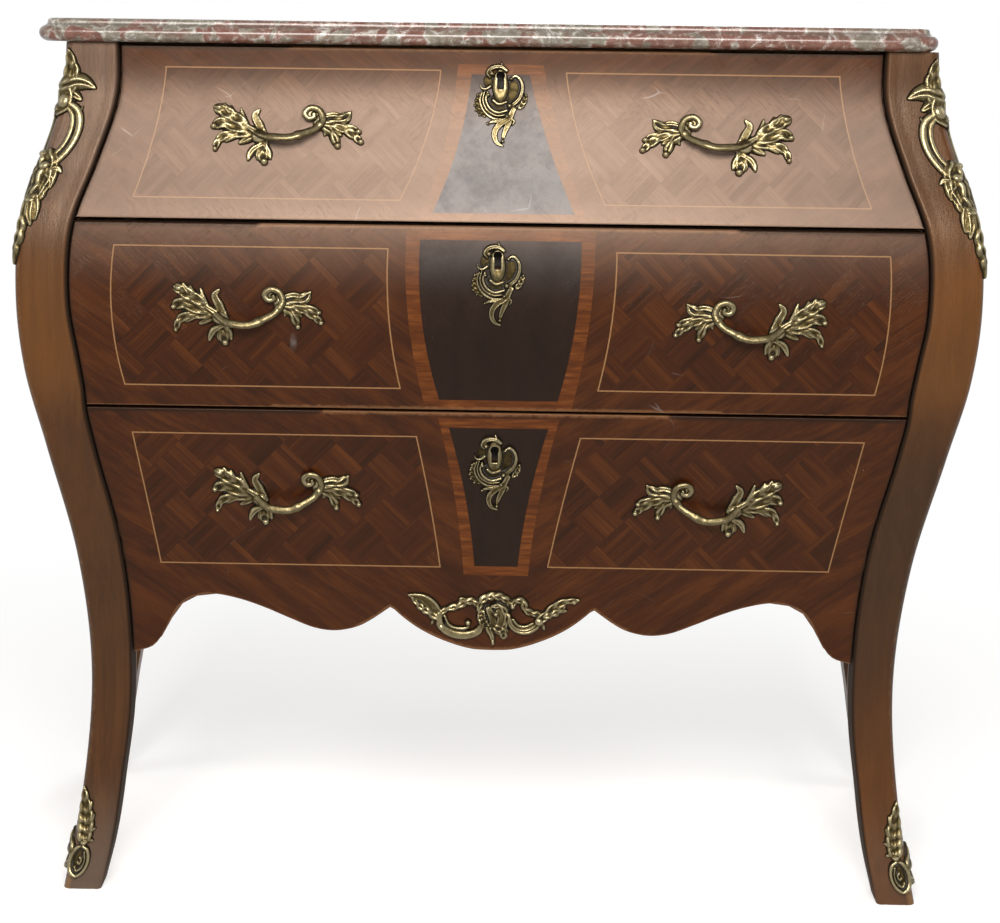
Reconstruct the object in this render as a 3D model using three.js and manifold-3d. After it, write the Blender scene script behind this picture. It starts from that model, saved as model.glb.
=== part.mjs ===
// Bombe commode chest: marble top, three curved drawers, cabriole corner posts and cast brass mounts.
// Millimetres, +Z up, drawer fronts towards -Y. The export is one group of named meshes.
import * as THREE from 'three';
import { mergeVertices } from 'three/addons/utils/BufferGeometryUtils.js';
import Module from 'manifold-3d';

const wasm = await Module();
wasm.setup();

// Case sizes
const carcaseHeight = 838;
const ridgeHalfWidth = 413.7;
const carcaseDepth = 390;
const sideFlare = 50;
const swellDepth = 44;

// Clearances
const seatGap = 0.3;
const slideGap = 0.3;
const revealHalf = 1;
const scribeGap = 0.7;
const guideGap = 1.5;
const lockTopGap = 1;
const boxSideGap = 3;
const boxTopGap = 8;
const cutOverrun = 2;

// Corner posts
const stileWidth = 52;
const ridgeRadius = 8;
const stileRadius = 5;
const frontPostBack = 50;
const backPostWidth = 42;
const backPostDepth = 36;

// Panels, rails and boards
const sidePanelThickness = 18;
const subTopThickness = 18;
const backPanelThickness = 8;
const backRailDepth = 20;
const backRailHeight = 60;
const railThickness = 20;
const railBack = 62;
const bottomRailHeight = 24;
const bottomBoardThickness = 11.7;
const runnerThickness = 12;
const runnerInside = 18;
const runnerOutside = 22;
const guideWidth = 14;
const guideHeight = 18;

// Apron
const apronTipHeight = 238;
const apronRise = 61.4;

// Drawers
const frontThickness = 22;
const drawerSetback = 5;
const drawerSideThickness = 12;
const drawerBottomThickness = 6;
const drawerBottomHeight = 8;
const drawerGrooveDepth = 4;
const drawerBackSpace = 45;
const drawerBoxBack = carcaseDepth - drawerBackSpace;
const topGap = 2.5;
const upperLine = 4.3;
const lowerLine = 3.1;
const shelfStep = 0.4;
const lowestShelfRise = 30.6;
const topKeyDrop = 30.8;
const middleKeyDrop = 32.9;
const bottomKeyDrop = 42.3;
const topPullOutShare = 0.4955;
const middlePullOutShare = 0.5777;
const bottomPullOutShare = 0.4992;
const topFrontShare = 0.268;
const middleFrontShare = 0.294;
const topPullShare = 0.487;
const middlePullShare = 0.499;
const bottomPullShare = 0.433;

// The fronts share the height from the apron's tip to the marble.
const caseFrontHeight = carcaseHeight - apronTipHeight;
const topFrontHeight = caseFrontHeight * topFrontShare;
const middleFrontHeight = caseFrontHeight * middleFrontShare;

const topLow = carcaseHeight - topGap - topFrontHeight;
const middleHigh = topLow - upperLine;
const middleLow = middleHigh - middleFrontHeight;
const bottomHigh = middleLow - lowerLine;
const lowestShelf = apronTipHeight + apronRise + lowestShelfRise;

// low and high bound a front, its box stands on the shelf, and the pulls are out from the middle.
const topDrawer = {
  name: 'top',
  low: topLow,
  high: carcaseHeight - topGap,
  shelf: middleHigh + shelfStep,
  keyhole: carcaseHeight - topGap - topKeyDrop,
  pullOut: ridgeHalfWidth * topPullOutShare,
  pullHeight: topLow + topPullShare * topFrontHeight,
};
const middleDrawer = {
  name: 'middle',
  low: middleLow,
  high: middleHigh,
  shelf: bottomHigh + shelfStep,
  keyhole: middleHigh - middleKeyDrop,
  pullOut: ridgeHalfWidth * middlePullOutShare,
  pullHeight: middleLow + middlePullShare * middleFrontHeight,
};
const bottomDrawer = {
  name: 'bottom',
  low: apronTipHeight,
  high: bottomHigh,
  shelf: lowestShelf,
  keyhole: bottomHigh - bottomKeyDrop,
  pullOut: ridgeHalfWidth * bottomPullOutShare,
  pullHeight: lowestShelf + bottomPullShare * (bottomHigh - lowestShelf),
};

// Locks
const lockWidth = 62;
const lockHeight = 42;
const lockWall = 2.5;
const lockLetIn = 1;
const boltWidth = 26;
const boltThickness = 4;
const boltHeight = 20;
const boltSetback = 4;
const boltThrow = 7;
const mortiseGap = 1.5;
const keyPocket = 2.5;
const keyBowRadius = 4.2;
const keySlotWidth = 6.2;
const keySlotLength = 12.5;

// Marble top
const marbleThickness = 22;
const marbleSideOverhang = 9.9;
const marbleHalfWidth = ridgeHalfWidth + marbleSideOverhang;
const marbleFrontOverhang = 15;
const marbleBackOverhang = 4;
const marbleShift = -11.7;
const marbleCorner = 24;

// Brass mounts
const handleWidth = 145;
const handleStand = 21;
const bailRadius = 4.2;
const handleLift = 5;
const escutcheonHeight = 80;
const apronMountWidth = 173;
const apronMountRise = 41;
const cornerMountShare = 0.2422;
const cornerMountHeight = carcaseHeight * cornerMountShare;
const cornerMountFoot = carcaseHeight - cornerMountHeight;
const footMountHeight = 92;
const footMountFoot = 10.5;
const mountRise = 5;
const groundRise = 2.5;
const mountSink = 1.5;
const crestFallShare = 0.55;
const bossShoulder = 0.8;
const bossTop = 0.3;
const bailTailShare = 0.25;

// Steps along the curves
const postSteps = 26;
const panelSteps = 11;
const sidePanelSteps = 14;
const sidePanelColumns = 6;
const bailSteps = 12;
const bailSides = 5;
const strokeSteps = 2;
const bossSides = 6;
const keyholeSteps = 8;
const ridgeSteps = 3;
const cornerSteps = 6;

// Heights are shares of the carcase height, swells are shares of the swell depth.
const swellShares = [[0, 0.26], [0.12, -0.14], [0.26, -0.33], [0.40, -0.09], [0.54, 0.485], [0.63, 0.86],
  [0.72, 1], [0.80, 0.89], [0.87, 0.46], [0.94, 0.08], [1, 0]];
// Heights are shares of the carcase height, widths are shares of the stile width.
const stileShares = [[0, 0.72], [0.045, 0.74], [0.13, 0.70], [0.20, 0.75], [0.28, 0.81], [0.37, 0.86],
  [0.45, 0.90], [0.55, 0.92], [0.58, 0.95], [0.61, 1.03], [0.65, 1.04], [0.70, 0.98], [0.77, 0.97],
  [0.86, 1.01], [0.95, 1.03], [1, 0.99]];
// Heights are shares of the carcase height, depths are shares of the post's back face or width.
const postBackShares = [[0, 0.58], [0.06, 0.72], [0.13, 0.86], [0.20, 0.96], [0.27, 1], [1, 1]];
const backPostShares = [[0, 0.86], [0.13, 0.82], [0.20, 0.92], [0.27, 1], [1, 1]];
// The sides flare less towards the floor: heights as above, then shares of the flare.
const flareShares = [[0, 0.70], [0.25, 0.72], [0.45, 0.90], [0.60, 1], [1, 1]];
// The apron edge: shares of the half width, then shares of the apron rise. The two curves meet in a cusp.
const apronLobeShares = [[0, 0.125], [0.056, 0.143], [0.134, 0.277], [0.202, 0.472], [0.246, 0.66],
  [0.279, 0.839]];
const apronArchShares = [[0.279, 0.839], [0.314, 0.689], [0.359, 0.52], [0.403, 0.436], [0.443, 0.412],
  [0.493, 0.456], [0.56, 0.611], [0.627, 0.782], [0.695, 0.922], [0.762, 1], [0.796, 0.993], [0.829, 0.936],
  [0.852, 0.863], [0.874, 0.739], [0.896, 0.515], [0.919, 0.269], [0.941, 0.114], [0.969, 0.04], [1, 0]];

// A cast stroke: path points as shares of the mount's size, and three half widths, also shares of it.
const handleShares = [
  { path: [[-0.21, 0.01], [-0.33, 0.10], [-0.475, 0.165]], root: 0.02, belly: 0.065, tip: 0.008 },
  { path: [[-0.20, -0.02], [-0.35, 0.03], [-0.485, 0.04]], root: 0.02, belly: 0.05, tip: 0.008 },
  { path: [[-0.20, -0.03], [-0.36, -0.02], [-0.463, -0.10]], root: 0.022, belly: 0.036, tip: 0.008 },
  { path: [[-0.18, 0], [-0.25, 0.09], [-0.24, 0.16]], root: 0.02, belly: 0.045, tip: 0.01 },
  { path: [[-0.15, -0.02], [-0.22, -0.107], [-0.246, -0.165]], root: 0.016, belly: 0.026, tip: 0.01 },
  { path: [[-0.15, -0.02], [-0.145, -0.09], [-0.138, -0.20]], root: 0.018, belly: 0.03, tip: 0.014 },
  { path: [[0.20, 0.09], [0.31, 0.11], [0.414, 0.165]], root: 0.03, belly: 0.06, tip: 0.008 },
  { path: [[0.20, 0.07], [0.297, 0], [0.338, -0.08]], root: 0.018, belly: 0.034, tip: 0.014 },
  { path: [[0.22, 0.08], [0.386, 0.045], [0.495, -0.05]], root: 0.018, belly: 0.04, tip: 0.012 },
];
// The grip rises off the drawer: along, up, and the share of its stand.
const bailShares = [[-0.20, -0.01, 0.26], [-0.15, -0.032, 0.6], [-0.088, -0.042, 0.9], [0.015, -0.04, 1],
  [0.118, -0.004, 0.8], [0.207, 0.045, 0.42], [0.24, 0.11, 0.25], [0.21, 0.172, 0.22], [0.148, 0.182, 0.22],
  [0.108, 0.143, 0.22], [0.136, 0.10, 0.22], [0.177, 0.11, 0.25]];
const handleSeatShares = [[-0.18, -0.015, 0.05], [0.20, 0.11, 0.06]];

const escutcheonShares = [
  { path: [[0.06, 0.195], [-0.043, 0.244], [-0.129, 0.208], [-0.15, 0.12], [-0.05, 0.06]],
    root: 0.02, belly: 0.045, tip: 0.03 },
  { path: [[-0.243, 0.019], [-0.184, -0.031], [-0.10, -0.01]], root: 0.012, belly: 0.024, tip: 0.02 },
  { path: [[-0.15, -0.06], [-0.20, -0.19], [-0.13, -0.29], [-0.014, -0.325], [0.13, -0.25]],
    root: 0.03, belly: 0.05, tip: 0.04 },
  { path: [[-0.24, -0.09], [-0.28, -0.199], [-0.12, -0.33]], root: 0.02, belly: 0.06, tip: 0.02 },
  { path: [[0.08, 0.08], [0.2, 0.1], [0.25, 0], [0.238, -0.105], [0.15, -0.22]],
    root: 0.022, belly: 0.03, tip: 0.03 },
  { path: [[0.14, -0.25], [0.25, -0.20], [0.295, -0.104]], root: 0.03, belly: 0.05, tip: 0.02 },
  { path: [[0.16, -0.25], [0.074, -0.354], [-0.026, -0.458], [-0.06, -0.56], [-0.025, -0.66], [0.066, -0.69]],
    root: 0.05, belly: 0.07, tip: 0.012 },
  { path: [[0.118, -0.3], [0.089, -0.441], [0.05, -0.566]], root: 0.03, belly: 0.04, tip: 0.012 },
  { path: [[0, -0.40], [-0.06, -0.435], [-0.129, -0.444]], root: 0.03, belly: 0.02, tip: 0.012 },
];
const escutcheonPlateShares = [[-0.012, -0.02, 0.105, 0.17], [-0.03, -0.17, 0.19, 0.17]];

const apronMountShares = [
  { path: [[-0.28, 0], [-0.376, 0.095], [-0.505, 0.13]], root: 0.03, belly: 0.055, tip: 0.006 },
  { path: [[-0.30, 0.02], [-0.37, 0.06], [-0.445, 0.072]], root: 0.02, belly: 0.03, tip: 0.01 },
  { path: [[-0.30, 0.03], [-0.316, -0.035], [-0.271, -0.09], [-0.173, -0.11], [-0.07, -0.08]],
    root: 0.018, belly: 0.036, tip: 0.03 },
  { path: [[-0.271, -0.06], [-0.202, -0.06], [-0.132, -0.017]], root: 0.012, belly: 0.016, tip: 0.014 },
  { path: [[-0.31, 0.01], [-0.23, 0.09], [-0.08, 0.09]], root: 0.018, belly: 0.03, tip: 0.026 },
  { path: [[-0.105, 0.08], [0, 0.13], [0.09, 0.085]], root: 0.02, belly: 0.034, tip: 0.02 },
  { path: [[0, -0.06], [0.004, -0.11], [-0.01, -0.165]], root: 0.04, belly: 0.03, tip: 0.012 },
  { path: [[0.06, -0.02], [0.17, -0.07], [0.31, 0.02]], root: 0.024, belly: 0.036, tip: 0.02 },
  { path: [[0.07, 0.07], [0.145, 0.112], [0.2, 0.06], [0.30, 0.025]], root: 0.02, belly: 0.032, tip: 0.018 },
  { path: [[0.26, -0.015], [0.339, 0.079], [0.483, 0.125]], root: 0.02, belly: 0.05, tip: 0.012 },
];
const apronBossShare = [0, 0.006, 0.098, 0.095];

// Along runs in from the ridge, and up from the mount's foot.
const cornerMountShares = [
  { path: [[0.06, 0.77], [0.065, 0.88], [0.035, 0.99]], root: 0.04, belly: 0.055, tip: 0.008 },
  { path: [[0.06, 0.82], [0.085, 0.85], [0.112, 0.865]], root: 0.02, belly: 0.02, tip: 0.008 },
  { path: [[0.06, 0.77], [0.12, 0.79], [0.164, 0.805]], root: 0.03, belly: 0.035, tip: 0.012 },
  { path: [[0.07, 0.79], [0.04, 0.74], [0, 0.70]], root: 0.03, belly: 0.035, tip: 0.016 },
  { path: [[0.06, 0.74], [0.03, 0.70], [0, 0.66]], root: 0.03, belly: 0.03, tip: 0.014 },
  { path: [[0.07, 0.79], [0.082, 0.72], [0.11, 0.66], [0.122, 0.58], [0.112, 0.51], [0.072, 0.44]],
    root: 0.03, belly: 0.016, tip: 0.03 },
  { path: [[0.077, 0.47], [0.05, 0.38], [0.045, 0.28]], root: 0.035, belly: 0.075, tip: 0.02 },
  { path: [[0.077, 0.46], [0.112, 0.39], [0.092, 0.315]], root: 0.016, belly: 0.024, tip: 0.014 },
  { path: [[0.047, 0.30], [0.057, 0.23], [0.077, 0.17]], root: 0.02, belly: 0.03, tip: 0.012 },
  { path: [[0.042, 0.30], [0.027, 0.18], [0.022, 0.08]], root: 0.02, belly: 0.03, tip: 0.012 },
  { path: [[0.022, 0.10], [0.02, 0.05], [0.022, 0]], root: 0.012, belly: 0.016, tip: 0.008 },
];
// Strokes that lie on the other face of the ridge.
const cornerReturnShares = [
  { path: [[0, 0.72], [0.07, 0.73], [0.122, 0.58], [0.09, 0.46], [0, 0.40]],
    root: 0.03, belly: 0.016, tip: 0.03 },
  { path: [[0, 0.72], [0.08, 0.77], [0.164, 0.805]], root: 0.03, belly: 0.035, tip: 0.012 },
];
const footMountShares = [
  { path: [[0.11, 0.5], [0.08, 0.75], [0.02, 0.99]], root: 0.06, belly: 0.09, tip: 0.012 },
  { path: [[0.09, 0.55], [0.13, 0.62], [0.165, 0.66]], root: 0.05, belly: 0.04, tip: 0.02 },
  { path: [[0.09, 0.44], [0.15, 0.49], [0.20, 0.49]], root: 0.05, belly: 0.05, tip: 0.03 },
  { path: [[0.10, 0.36], [0.20, 0.30], [0.22, 0.16], [0.12, 0.05], [0.02, 0.10], [0, 0.22], [0.04, 0.33],
    [0.11, 0.37]], root: 0.035, belly: 0.045, tip: 0.035 },
  { path: [[0.04, 0.10], [0.12, 0.19], [0.10, 0.32]], root: 0.03, belly: 0.05, tip: 0.04 },
  { path: [[0.10, 0.32], [0.11, 0.42], [0.10, 0.54]], root: 0.05, belly: 0.06, tip: 0.05 },
];
const footReturnShares = [
  { path: [[0, 0.28], [0.06, 0.40], [0.12, 0.5]], root: 0.06, belly: 0.05, tip: 0.03 },
  { path: [[0, 0.16], [0.08, 0.12], [0.15, 0.2]], root: 0.05, belly: 0.05, tip: 0.03 },
];

// Heights above the marble's underside and insets from its widest edge, as shares of the thickness.
const marbleShares = [[0, 0.16], [0.1, 0.04], [0.28, 0], [0.46, 0.03], [0.62, 0.14], [0.68, 0.22],
  [0.8, 0.26], [0.92, 0.34], [1, 0.5]];

// Colours read off the photograph
const walnut = { color: 0x6b4021, roughness: 0.45 };
const kingwood = { color: 0x6a3423, roughness: 0.35 };
const beech = { color: 0xb08a5c, roughness: 0.8 };
const brass = { color: 0xa58a45, roughness: 0.35, metalness: 1 };
const steel = { color: 0x77746c, roughness: 0.5, metalness: 1 };
const marble = { color: 0x8a6f66, roughness: 0.25 };

const chest = new THREE.Group();

function addPiece(name, geometry, finish) {
  const mesh = new THREE.Mesh(geometry, new THREE.MeshStandardMaterial(finish));
  mesh.name = name;
  chest.add(mesh);
}

// Curves

function curveThrough(rows) {
  const curve = new THREE.CubicInterpolant(rows.map((row) => row[0]), rows.map((row) => row[1]), 1);
  return (share) => curve.evaluate(share)[0];
}

const swellShareAt = curveThrough(swellShares);
const stileShareAt = curveThrough(stileShares);
const postBackShareAt = curveThrough(postBackShares);
const backPostShareAt = curveThrough(backPostShares);
const flareShareAt = curveThrough(flareShares);
const lobeShareAt = curveThrough(apronLobeShares);
const archShareAt = curveThrough(apronArchShares);
const cuspShare = apronArchShares[0][0];

const swell = (z) => swellDepth * swellShareAt(z / carcaseHeight);
const ridgeX = (z) => ridgeHalfWidth + swell(z);
const postFaceY = (z) => -swell(z);
const revealX = (z) => ridgeX(z) - stileWidth * stileShareAt(z / carcaseHeight);
const postInnerX = (z) => revealX(z) + revealHalf;
const postBackY = (z) => frontPostBack * Math.min(1, postBackShareAt(z / carcaseHeight));
const backPostSize = (z, size) => size * Math.min(1, backPostShareAt(z / carcaseHeight));
const drawerFaceY = (z) => postFaceY(z) + drawerSetback;
const drawerInnerY = (z) => drawerFaceY(z) + frontThickness;
const drawerEdgeX = (z) => revealX(z) - revealHalf;

function sideX(y, z) {
  const reach = (y - postFaceY(z)) / (carcaseDepth - postFaceY(z));
  const flare = sideFlare * Math.min(1, flareShareAt(z / carcaseHeight));
  return ridgeX(z) + flare * THREE.MathUtils.smoothstep(reach, 0, 1);
}

const backPostInnerX = (z) => sideX(carcaseDepth, z) - backPostSize(z, backPostWidth);
const sidePanelInnerX = (y, z) => sideX(y, z) - sidePanelThickness;

function apronEdge(share) {
  const reach = Math.abs(share);
  const rise = reach < cuspShare ? lobeShareAt(reach) : archShareAt(reach);
  return apronTipHeight + apronRise * rise;
}

function spread(low, high, steps) {
  return Array.from({ length: steps + 1 }, (_, i) => low + (high - low) * i / steps);
}

const leastOver = (curve, low, high) => Math.min(...spread(low, high, panelSteps).map(curve));
const mostOver = (curve, low, high) => Math.max(...spread(low, high, panelSteps).map(curve));

// Solids

function toSolid(geometry) {
  const bare = new THREE.BufferGeometry();
  bare.setAttribute('position', geometry.getAttribute('position'));
  if (geometry.index) bare.setIndex(geometry.index);
  const merged = mergeVertices(bare, 1e-5);
  return new wasm.Manifold(new wasm.Mesh({
    numProp: 3,
    vertProperties: new Float32Array(merged.getAttribute('position').array),
    triVerts: new Uint32Array(merged.index.array),
  }));
}

function toGeometry(solid) {
  const mesh = solid.getMesh();
  const geometry = new THREE.BufferGeometry();
  const points = new Float32Array(mesh.vertProperties);
  geometry.setAttribute('position', new THREE.BufferAttribute(points, mesh.numProp));
  geometry.setIndex(new THREE.BufferAttribute(new Uint32Array(mesh.triVerts), 1));
  return geometry;
}

const joined = (solids) => solids.reduce((whole, solid) => whole.add(solid));

// A closed geometry from points and triangles, turned the right way out.
function closedGeometry(points, triangles) {
  const volume = triangles.reduce((sum, [a, b, c]) => {
    const edge = new THREE.Vector3().crossVectors(points[b], points[c]);
    return sum + points[a].dot(edge);
  }, 0);
  const order = volume < 0 ? triangles.map(([a, b, c]) => [a, c, b]) : triangles;
  const geometry = new THREE.BufferGeometry().setFromPoints(points);
  geometry.setIndex(order.flat());
  return geometry;
}

// A solid through rings of equal length, closed by a fan at each end.
function loft(rings) {
  const count = rings[0].length;
  const points = rings.flat();
  const triangles = [];
  for (let r = 0; r + 1 < rings.length; r += 1) {
    for (let i = 0; i < count; i += 1) {
      const a = r * count + i;
      const b = r * count + (i + 1) % count;
      triangles.push([a, b, a + count], [b, b + count, a + count]);
    }
  }
  const middle = (ring) => ring.reduce((sum, p) => sum.add(p), new THREE.Vector3()).divideScalar(count);
  const first = points.length;
  points.push(middle(rings[0]), middle(rings[rings.length - 1]));
  const last = (rings.length - 1) * count;
  for (let i = 0; i < count; i += 1) {
    const next = (i + 1) % count;
    triangles.push([first, next, i], [first + 1, last + i, last + next]);
  }
  return closedGeometry(points, triangles);
}

// A shell between an outer and an inner face, each given over two running shares.
function shell(acrossShares, upSteps, outer, inner) {
  const up = upSteps + 1;
  const across = acrossShares.length;
  const points = [];
  for (const face of [outer, inner]) {
    for (const u of acrossShares) points.push(...spread(0, 1, upSteps).map((v) => face(u, v)));
  }
  const at = (side, u, v) => side * across * up + u * up + v;
  const triangles = [];
  const quad = (a, b, c, d) => triangles.push([a, b, c], [a, c, d]);
  for (let u = 0; u + 1 < across; u += 1) {
    for (let v = 0; v < upSteps; v += 1) {
      quad(at(0, u, v), at(0, u + 1, v), at(0, u + 1, v + 1), at(0, u, v + 1));
      quad(at(1, u, v), at(1, u, v + 1), at(1, u + 1, v + 1), at(1, u + 1, v));
    }
    quad(at(0, u, 0), at(1, u, 0), at(1, u + 1, 0), at(0, u + 1, 0));
    quad(at(0, u, upSteps), at(0, u + 1, upSteps), at(1, u + 1, upSteps), at(1, u, upSteps));
  }
  for (let v = 0; v < upSteps; v += 1) {
    quad(at(0, 0, v), at(0, 0, v + 1), at(1, 0, v + 1), at(1, 0, v));
    quad(at(0, across - 1, v), at(1, across - 1, v), at(1, across - 1, v + 1), at(0, across - 1, v + 1));
  }
  return closedGeometry(points, triangles);
}

function board(x0, x1, y0, y1, z0, z1) {
  const geometry = new THREE.BoxGeometry(x1 - x0, y1 - y0, z1 - z0);
  return geometry.translate((x0 + x1) / 2, (y0 + y1) / 2, (z0 + z1) / 2);
}

// A flat outline in X and Y, raised from z0 to z1.
function levelBoard(outline, z0, z1) {
  const shape = new THREE.Shape(outline.map(([x, y]) => new THREE.Vector2(x, y)));
  return new THREE.ExtrudeGeometry(shape, { depth: z1 - z0, bevelEnabled: false }).translate(0, 0, z0);
}

// A flat outline in X and Z, from y0 back to y1.
function uprightBoard(outline, y0, y1) {
  const shape = new THREE.Shape(outline.map(([x, z]) => new THREE.Vector2(x, z)));
  const geometry = new THREE.ExtrudeGeometry(shape, { depth: y1 - y0, bevelEnabled: false });
  return geometry.rotateX(Math.PI / 2).translate(0, y1, 0);
}

// A flat outline in Y and Z, from x0 across to x1.
function sidewaysBoard(outline, x0, x1) {
  const shape = new THREE.Shape(outline.map(([y, z]) => new THREE.Vector2(y, z)));
  const geometry = new THREE.ExtrudeGeometry(shape, { depth: x1 - x0, bevelEnabled: false });
  return geometry.rotateX(Math.PI / 2).rotateZ(Math.PI / 2).translate(x0, 0, 0);
}

function mirrored(geometry) {
  const copy = geometry.clone().scale(-1, 1, 1);
  const index = Array.from(copy.index ? copy.index.array : copy.getAttribute('position').array.keys());
  if (!copy.index) index.length = copy.getAttribute('position').count;
  for (let i = 0; i < index.length; i += 3) [index[i + 1], index[i + 2]] = [index[i + 2], index[i + 1]];
  copy.setIndex(index);
  return copy;
}

function addPair(name, geometry, finish) {
  addPiece(`left_${name}`, mirrored(geometry), finish);
  addPiece(`right_${name}`, geometry, finish);
}

// Corner posts

function quarterRound(centreX, centreY, radius, startAngle, steps) {
  return spread(0, 1, steps).map((share) => {
    const angle = startAngle + share * Math.PI / 2;
    return [centreX + radius * Math.cos(angle), centreY + radius * Math.sin(angle)];
  });
}

// The plan section of a front post; grow swells it so that it can cut the brass that lies on it.
function frontPostSection(z, grow) {
  const ridge = ridgeX(z) + grow;
  const face = postFaceY(z) - grow;
  const inner = postInnerX(z) - grow;
  const back = postBackY(z) + grow;
  const section = [
    ...quarterRound(inner + stileRadius, face + stileRadius, stileRadius, Math.PI, ridgeSteps),
    ...quarterRound(ridge - ridgeRadius, face + ridgeRadius, ridgeRadius, -Math.PI / 2, ridgeSteps),
    [sideX(back, z) + grow, back],
    [inner, back],
  ];
  return section.map(([x, y]) => new THREE.Vector3(x, y, z));
}

function frontPost(grow) {
  return loft(spread(-grow, carcaseHeight, postSteps).map((z) => frontPostSection(z, grow)));
}

function backPostSection(z) {
  const front = carcaseDepth - backPostSize(z, backPostDepth);
  const inner = backPostInnerX(z);
  const section = [[sideX(front, z), front], [sideX(carcaseDepth, z), carcaseDepth], [inner, carcaseDepth],
    [inner, front]];
  return section.map(([x, y]) => new THREE.Vector3(x, y, z));
}

const backPost = () => loft(spread(0, carcaseHeight, postSteps).map(backPostSection));

// Where the scalloped edge is measured, as shares of its half width; one is the cusp.
const edgeColumnShares = [0, 0.09, 0.18, cuspShare, 0.33, 0.39, 0.443, 0.51, 0.6, 0.69, 0.762, 0.82, 0.86,
  0.89, 0.92, 0.96, 1];

// The space under a scalloped edge, as an outline of half-width and height points.
function underApron(half) {
  const columns = [...edgeColumnShares.slice(1).reverse().map((share) => -share), ...edgeColumnShares];
  const below = apronTipHeight - cutOverrun;
  const edge = columns.map((share) => [share * half, apronEdge(share)]);
  return [[-half - cutOverrun, below], ...edge, [half + cutOverrun, below]];
}

function sidePanel() {
  const front = frontPostBack + seatGap;
  const back = carcaseDepth - backPostDepth - seatGap;
  const face = (inset) => (y, up) => {
    const z = apronTipHeight + (carcaseHeight - apronTipHeight) * up;
    return new THREE.Vector3(sideX(y, z) - inset, y, z);
  };
  const columns = spread(front, back, sidePanelColumns);
  const panel = toSolid(shell(columns, sidePanelSteps, face(0), face(sidePanelThickness)));
  const outline = underApron((back - front) / 2).map(([reach, z]) => [(front + back) / 2 + reach, z]);
  const widest = sideX(back, apronTipHeight) + swellDepth;
  return toGeometry(panel.subtract(toSolid(sidewaysBoard(outline, 0, widest))));
}

// Boards of the case

function mirroredOutline(half) {
  return [...half, ...half.map(([x, y]) => [-x, y]).reverse()];
}

// The inner edge along a side panel, between two depths, clear of it over a range of heights.
function besideSidePanel(y0, y1, z0, z1) {
  const inner = (y) => leastOver((z) => sidePanelInnerX(y, z), z0, z1);
  return spread(y0, y1, panelSteps).map((y) => [inner(y) - scribeGap, y]);
}

const backFace = carcaseDepth - backPostDepth - seatGap;
const backPanelFront = carcaseDepth - backPanelThickness;
const bottomFrameLow = bottomDrawer.shelf - bottomRailHeight;

function subTop() {
  const low = carcaseHeight - subTopThickness;
  const front = mostOver(drawerInnerY, low, carcaseHeight) + seatGap;
  const between = leastOver(postInnerX, low, carcaseHeight) - scribeGap;
  const back = frontPostBack + seatGap;
  const sides = besideSidePanel(back, backFace, low, carcaseHeight);
  const outline = mirroredOutline([[between, front], [between, back], ...sides]);
  const solid = toSolid(levelBoard(outline, low, carcaseHeight));
  return toGeometry(solid.subtract(boltMortise(topDrawer)));
}

function frontRail(low, high) {
  const front = mostOver(drawerInnerY, low, high) + seatGap;
  const half = leastOver(postInnerX, low, high) - scribeGap;
  return toSolid(board(-half, half, front, railBack, low, high));
}

// The rail between two drawers: the upper one runs on it, and the lower one locks into it.
function divider(upper, lower) {
  return toGeometry(frontRail(upper.shelf - railThickness, upper.shelf).subtract(boltMortise(lower)));
}

function bottomBoard() {
  const high = bottomFrameLow + bottomBoardThickness;
  const outline = mirroredOutline(besideSidePanel(railBack + seatGap, backFace, bottomFrameLow, high));
  return levelBoard(outline, bottomFrameLow, high);
}

function backPanel() {
  const inner = (z) => backPostInnerX(z) - scribeGap;
  const half = spread(bottomFrameLow, carcaseHeight, postSteps).map((z) => [inner(z), z]);
  return uprightBoard(mirroredOutline(half), backPanelFront, carcaseDepth);
}

function backRail(low, high) {
  const half = leastOver(backPostInnerX, low, high) - scribeGap;
  const back = backPanelFront - seatGap;
  return board(-half, half, back - backRailDepth, back, low, high);
}

// Drawers

const boxHalf = (drawer) => leastOver(drawerEdgeX, drawer.shelf, boxTop(drawer)) - boxSideGap;

function ceilingOf(drawer) {
  if (drawer === topDrawer) return carcaseHeight - subTopThickness;
  const above = drawer === middleDrawer ? topDrawer : middleDrawer;
  return above.shelf - railThickness;
}

const boxTop = (drawer) => ceilingOf(drawer) - boxTopGap;
const boxLow = (drawer) => drawer.shelf + slideGap;

function runner(drawer) {
  const half = boxHalf(drawer);
  const high = drawer.shelf;
  const low = high - runnerThickness;
  const guide = half + guideGap;
  const bottom = drawer === bottomDrawer;
  const back = (bottom ? backPanelFront - seatGap - backRailDepth : backPanelFront) - seatGap;
  const outline = [[half - runnerInside, low], [half + runnerOutside, low], [half + runnerOutside, high],
    [guide + guideWidth, high], [guide + guideWidth, high + guideHeight], [guide, high + guideHeight],
    [guide, high], [half - runnerInside, high]];
  return uprightBoard(outline, railBack + seatGap, back);
}

// A drawer front: straight across and curved on its way up. The lowest one is scalloped.
function drawerShell(drawer) {
  const face = (yAt) => (side, up) => {
    const z = drawer.low + (drawer.high - drawer.low) * up;
    return new THREE.Vector3(side * drawerEdgeX(z), yAt(z), z);
  };
  const front = toSolid(shell([-1, 1], panelSteps, face(drawerFaceY), face(drawerInnerY)));
  if (drawer !== bottomDrawer) return front;
  const outline = underApron(drawerEdgeX(apronTipHeight));
  return front.subtract(toSolid(uprightBoard(outline, -swellDepth, carcaseDepth)));
}

function keyholeOutline() {
  const bow = keyBowRadius;
  const slot = keySlotWidth / 2;
  const meet = Math.asin(slot / bow);
  const angles = spread(meet - Math.PI / 2, Math.PI * 3 / 2 - meet, keyholeSteps);
  const round = angles.map((angle) => [bow * Math.cos(angle), bow * Math.sin(angle)]);
  return [...round, [-slot, -keySlotLength], [slot, -keySlotLength]];
}

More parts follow.
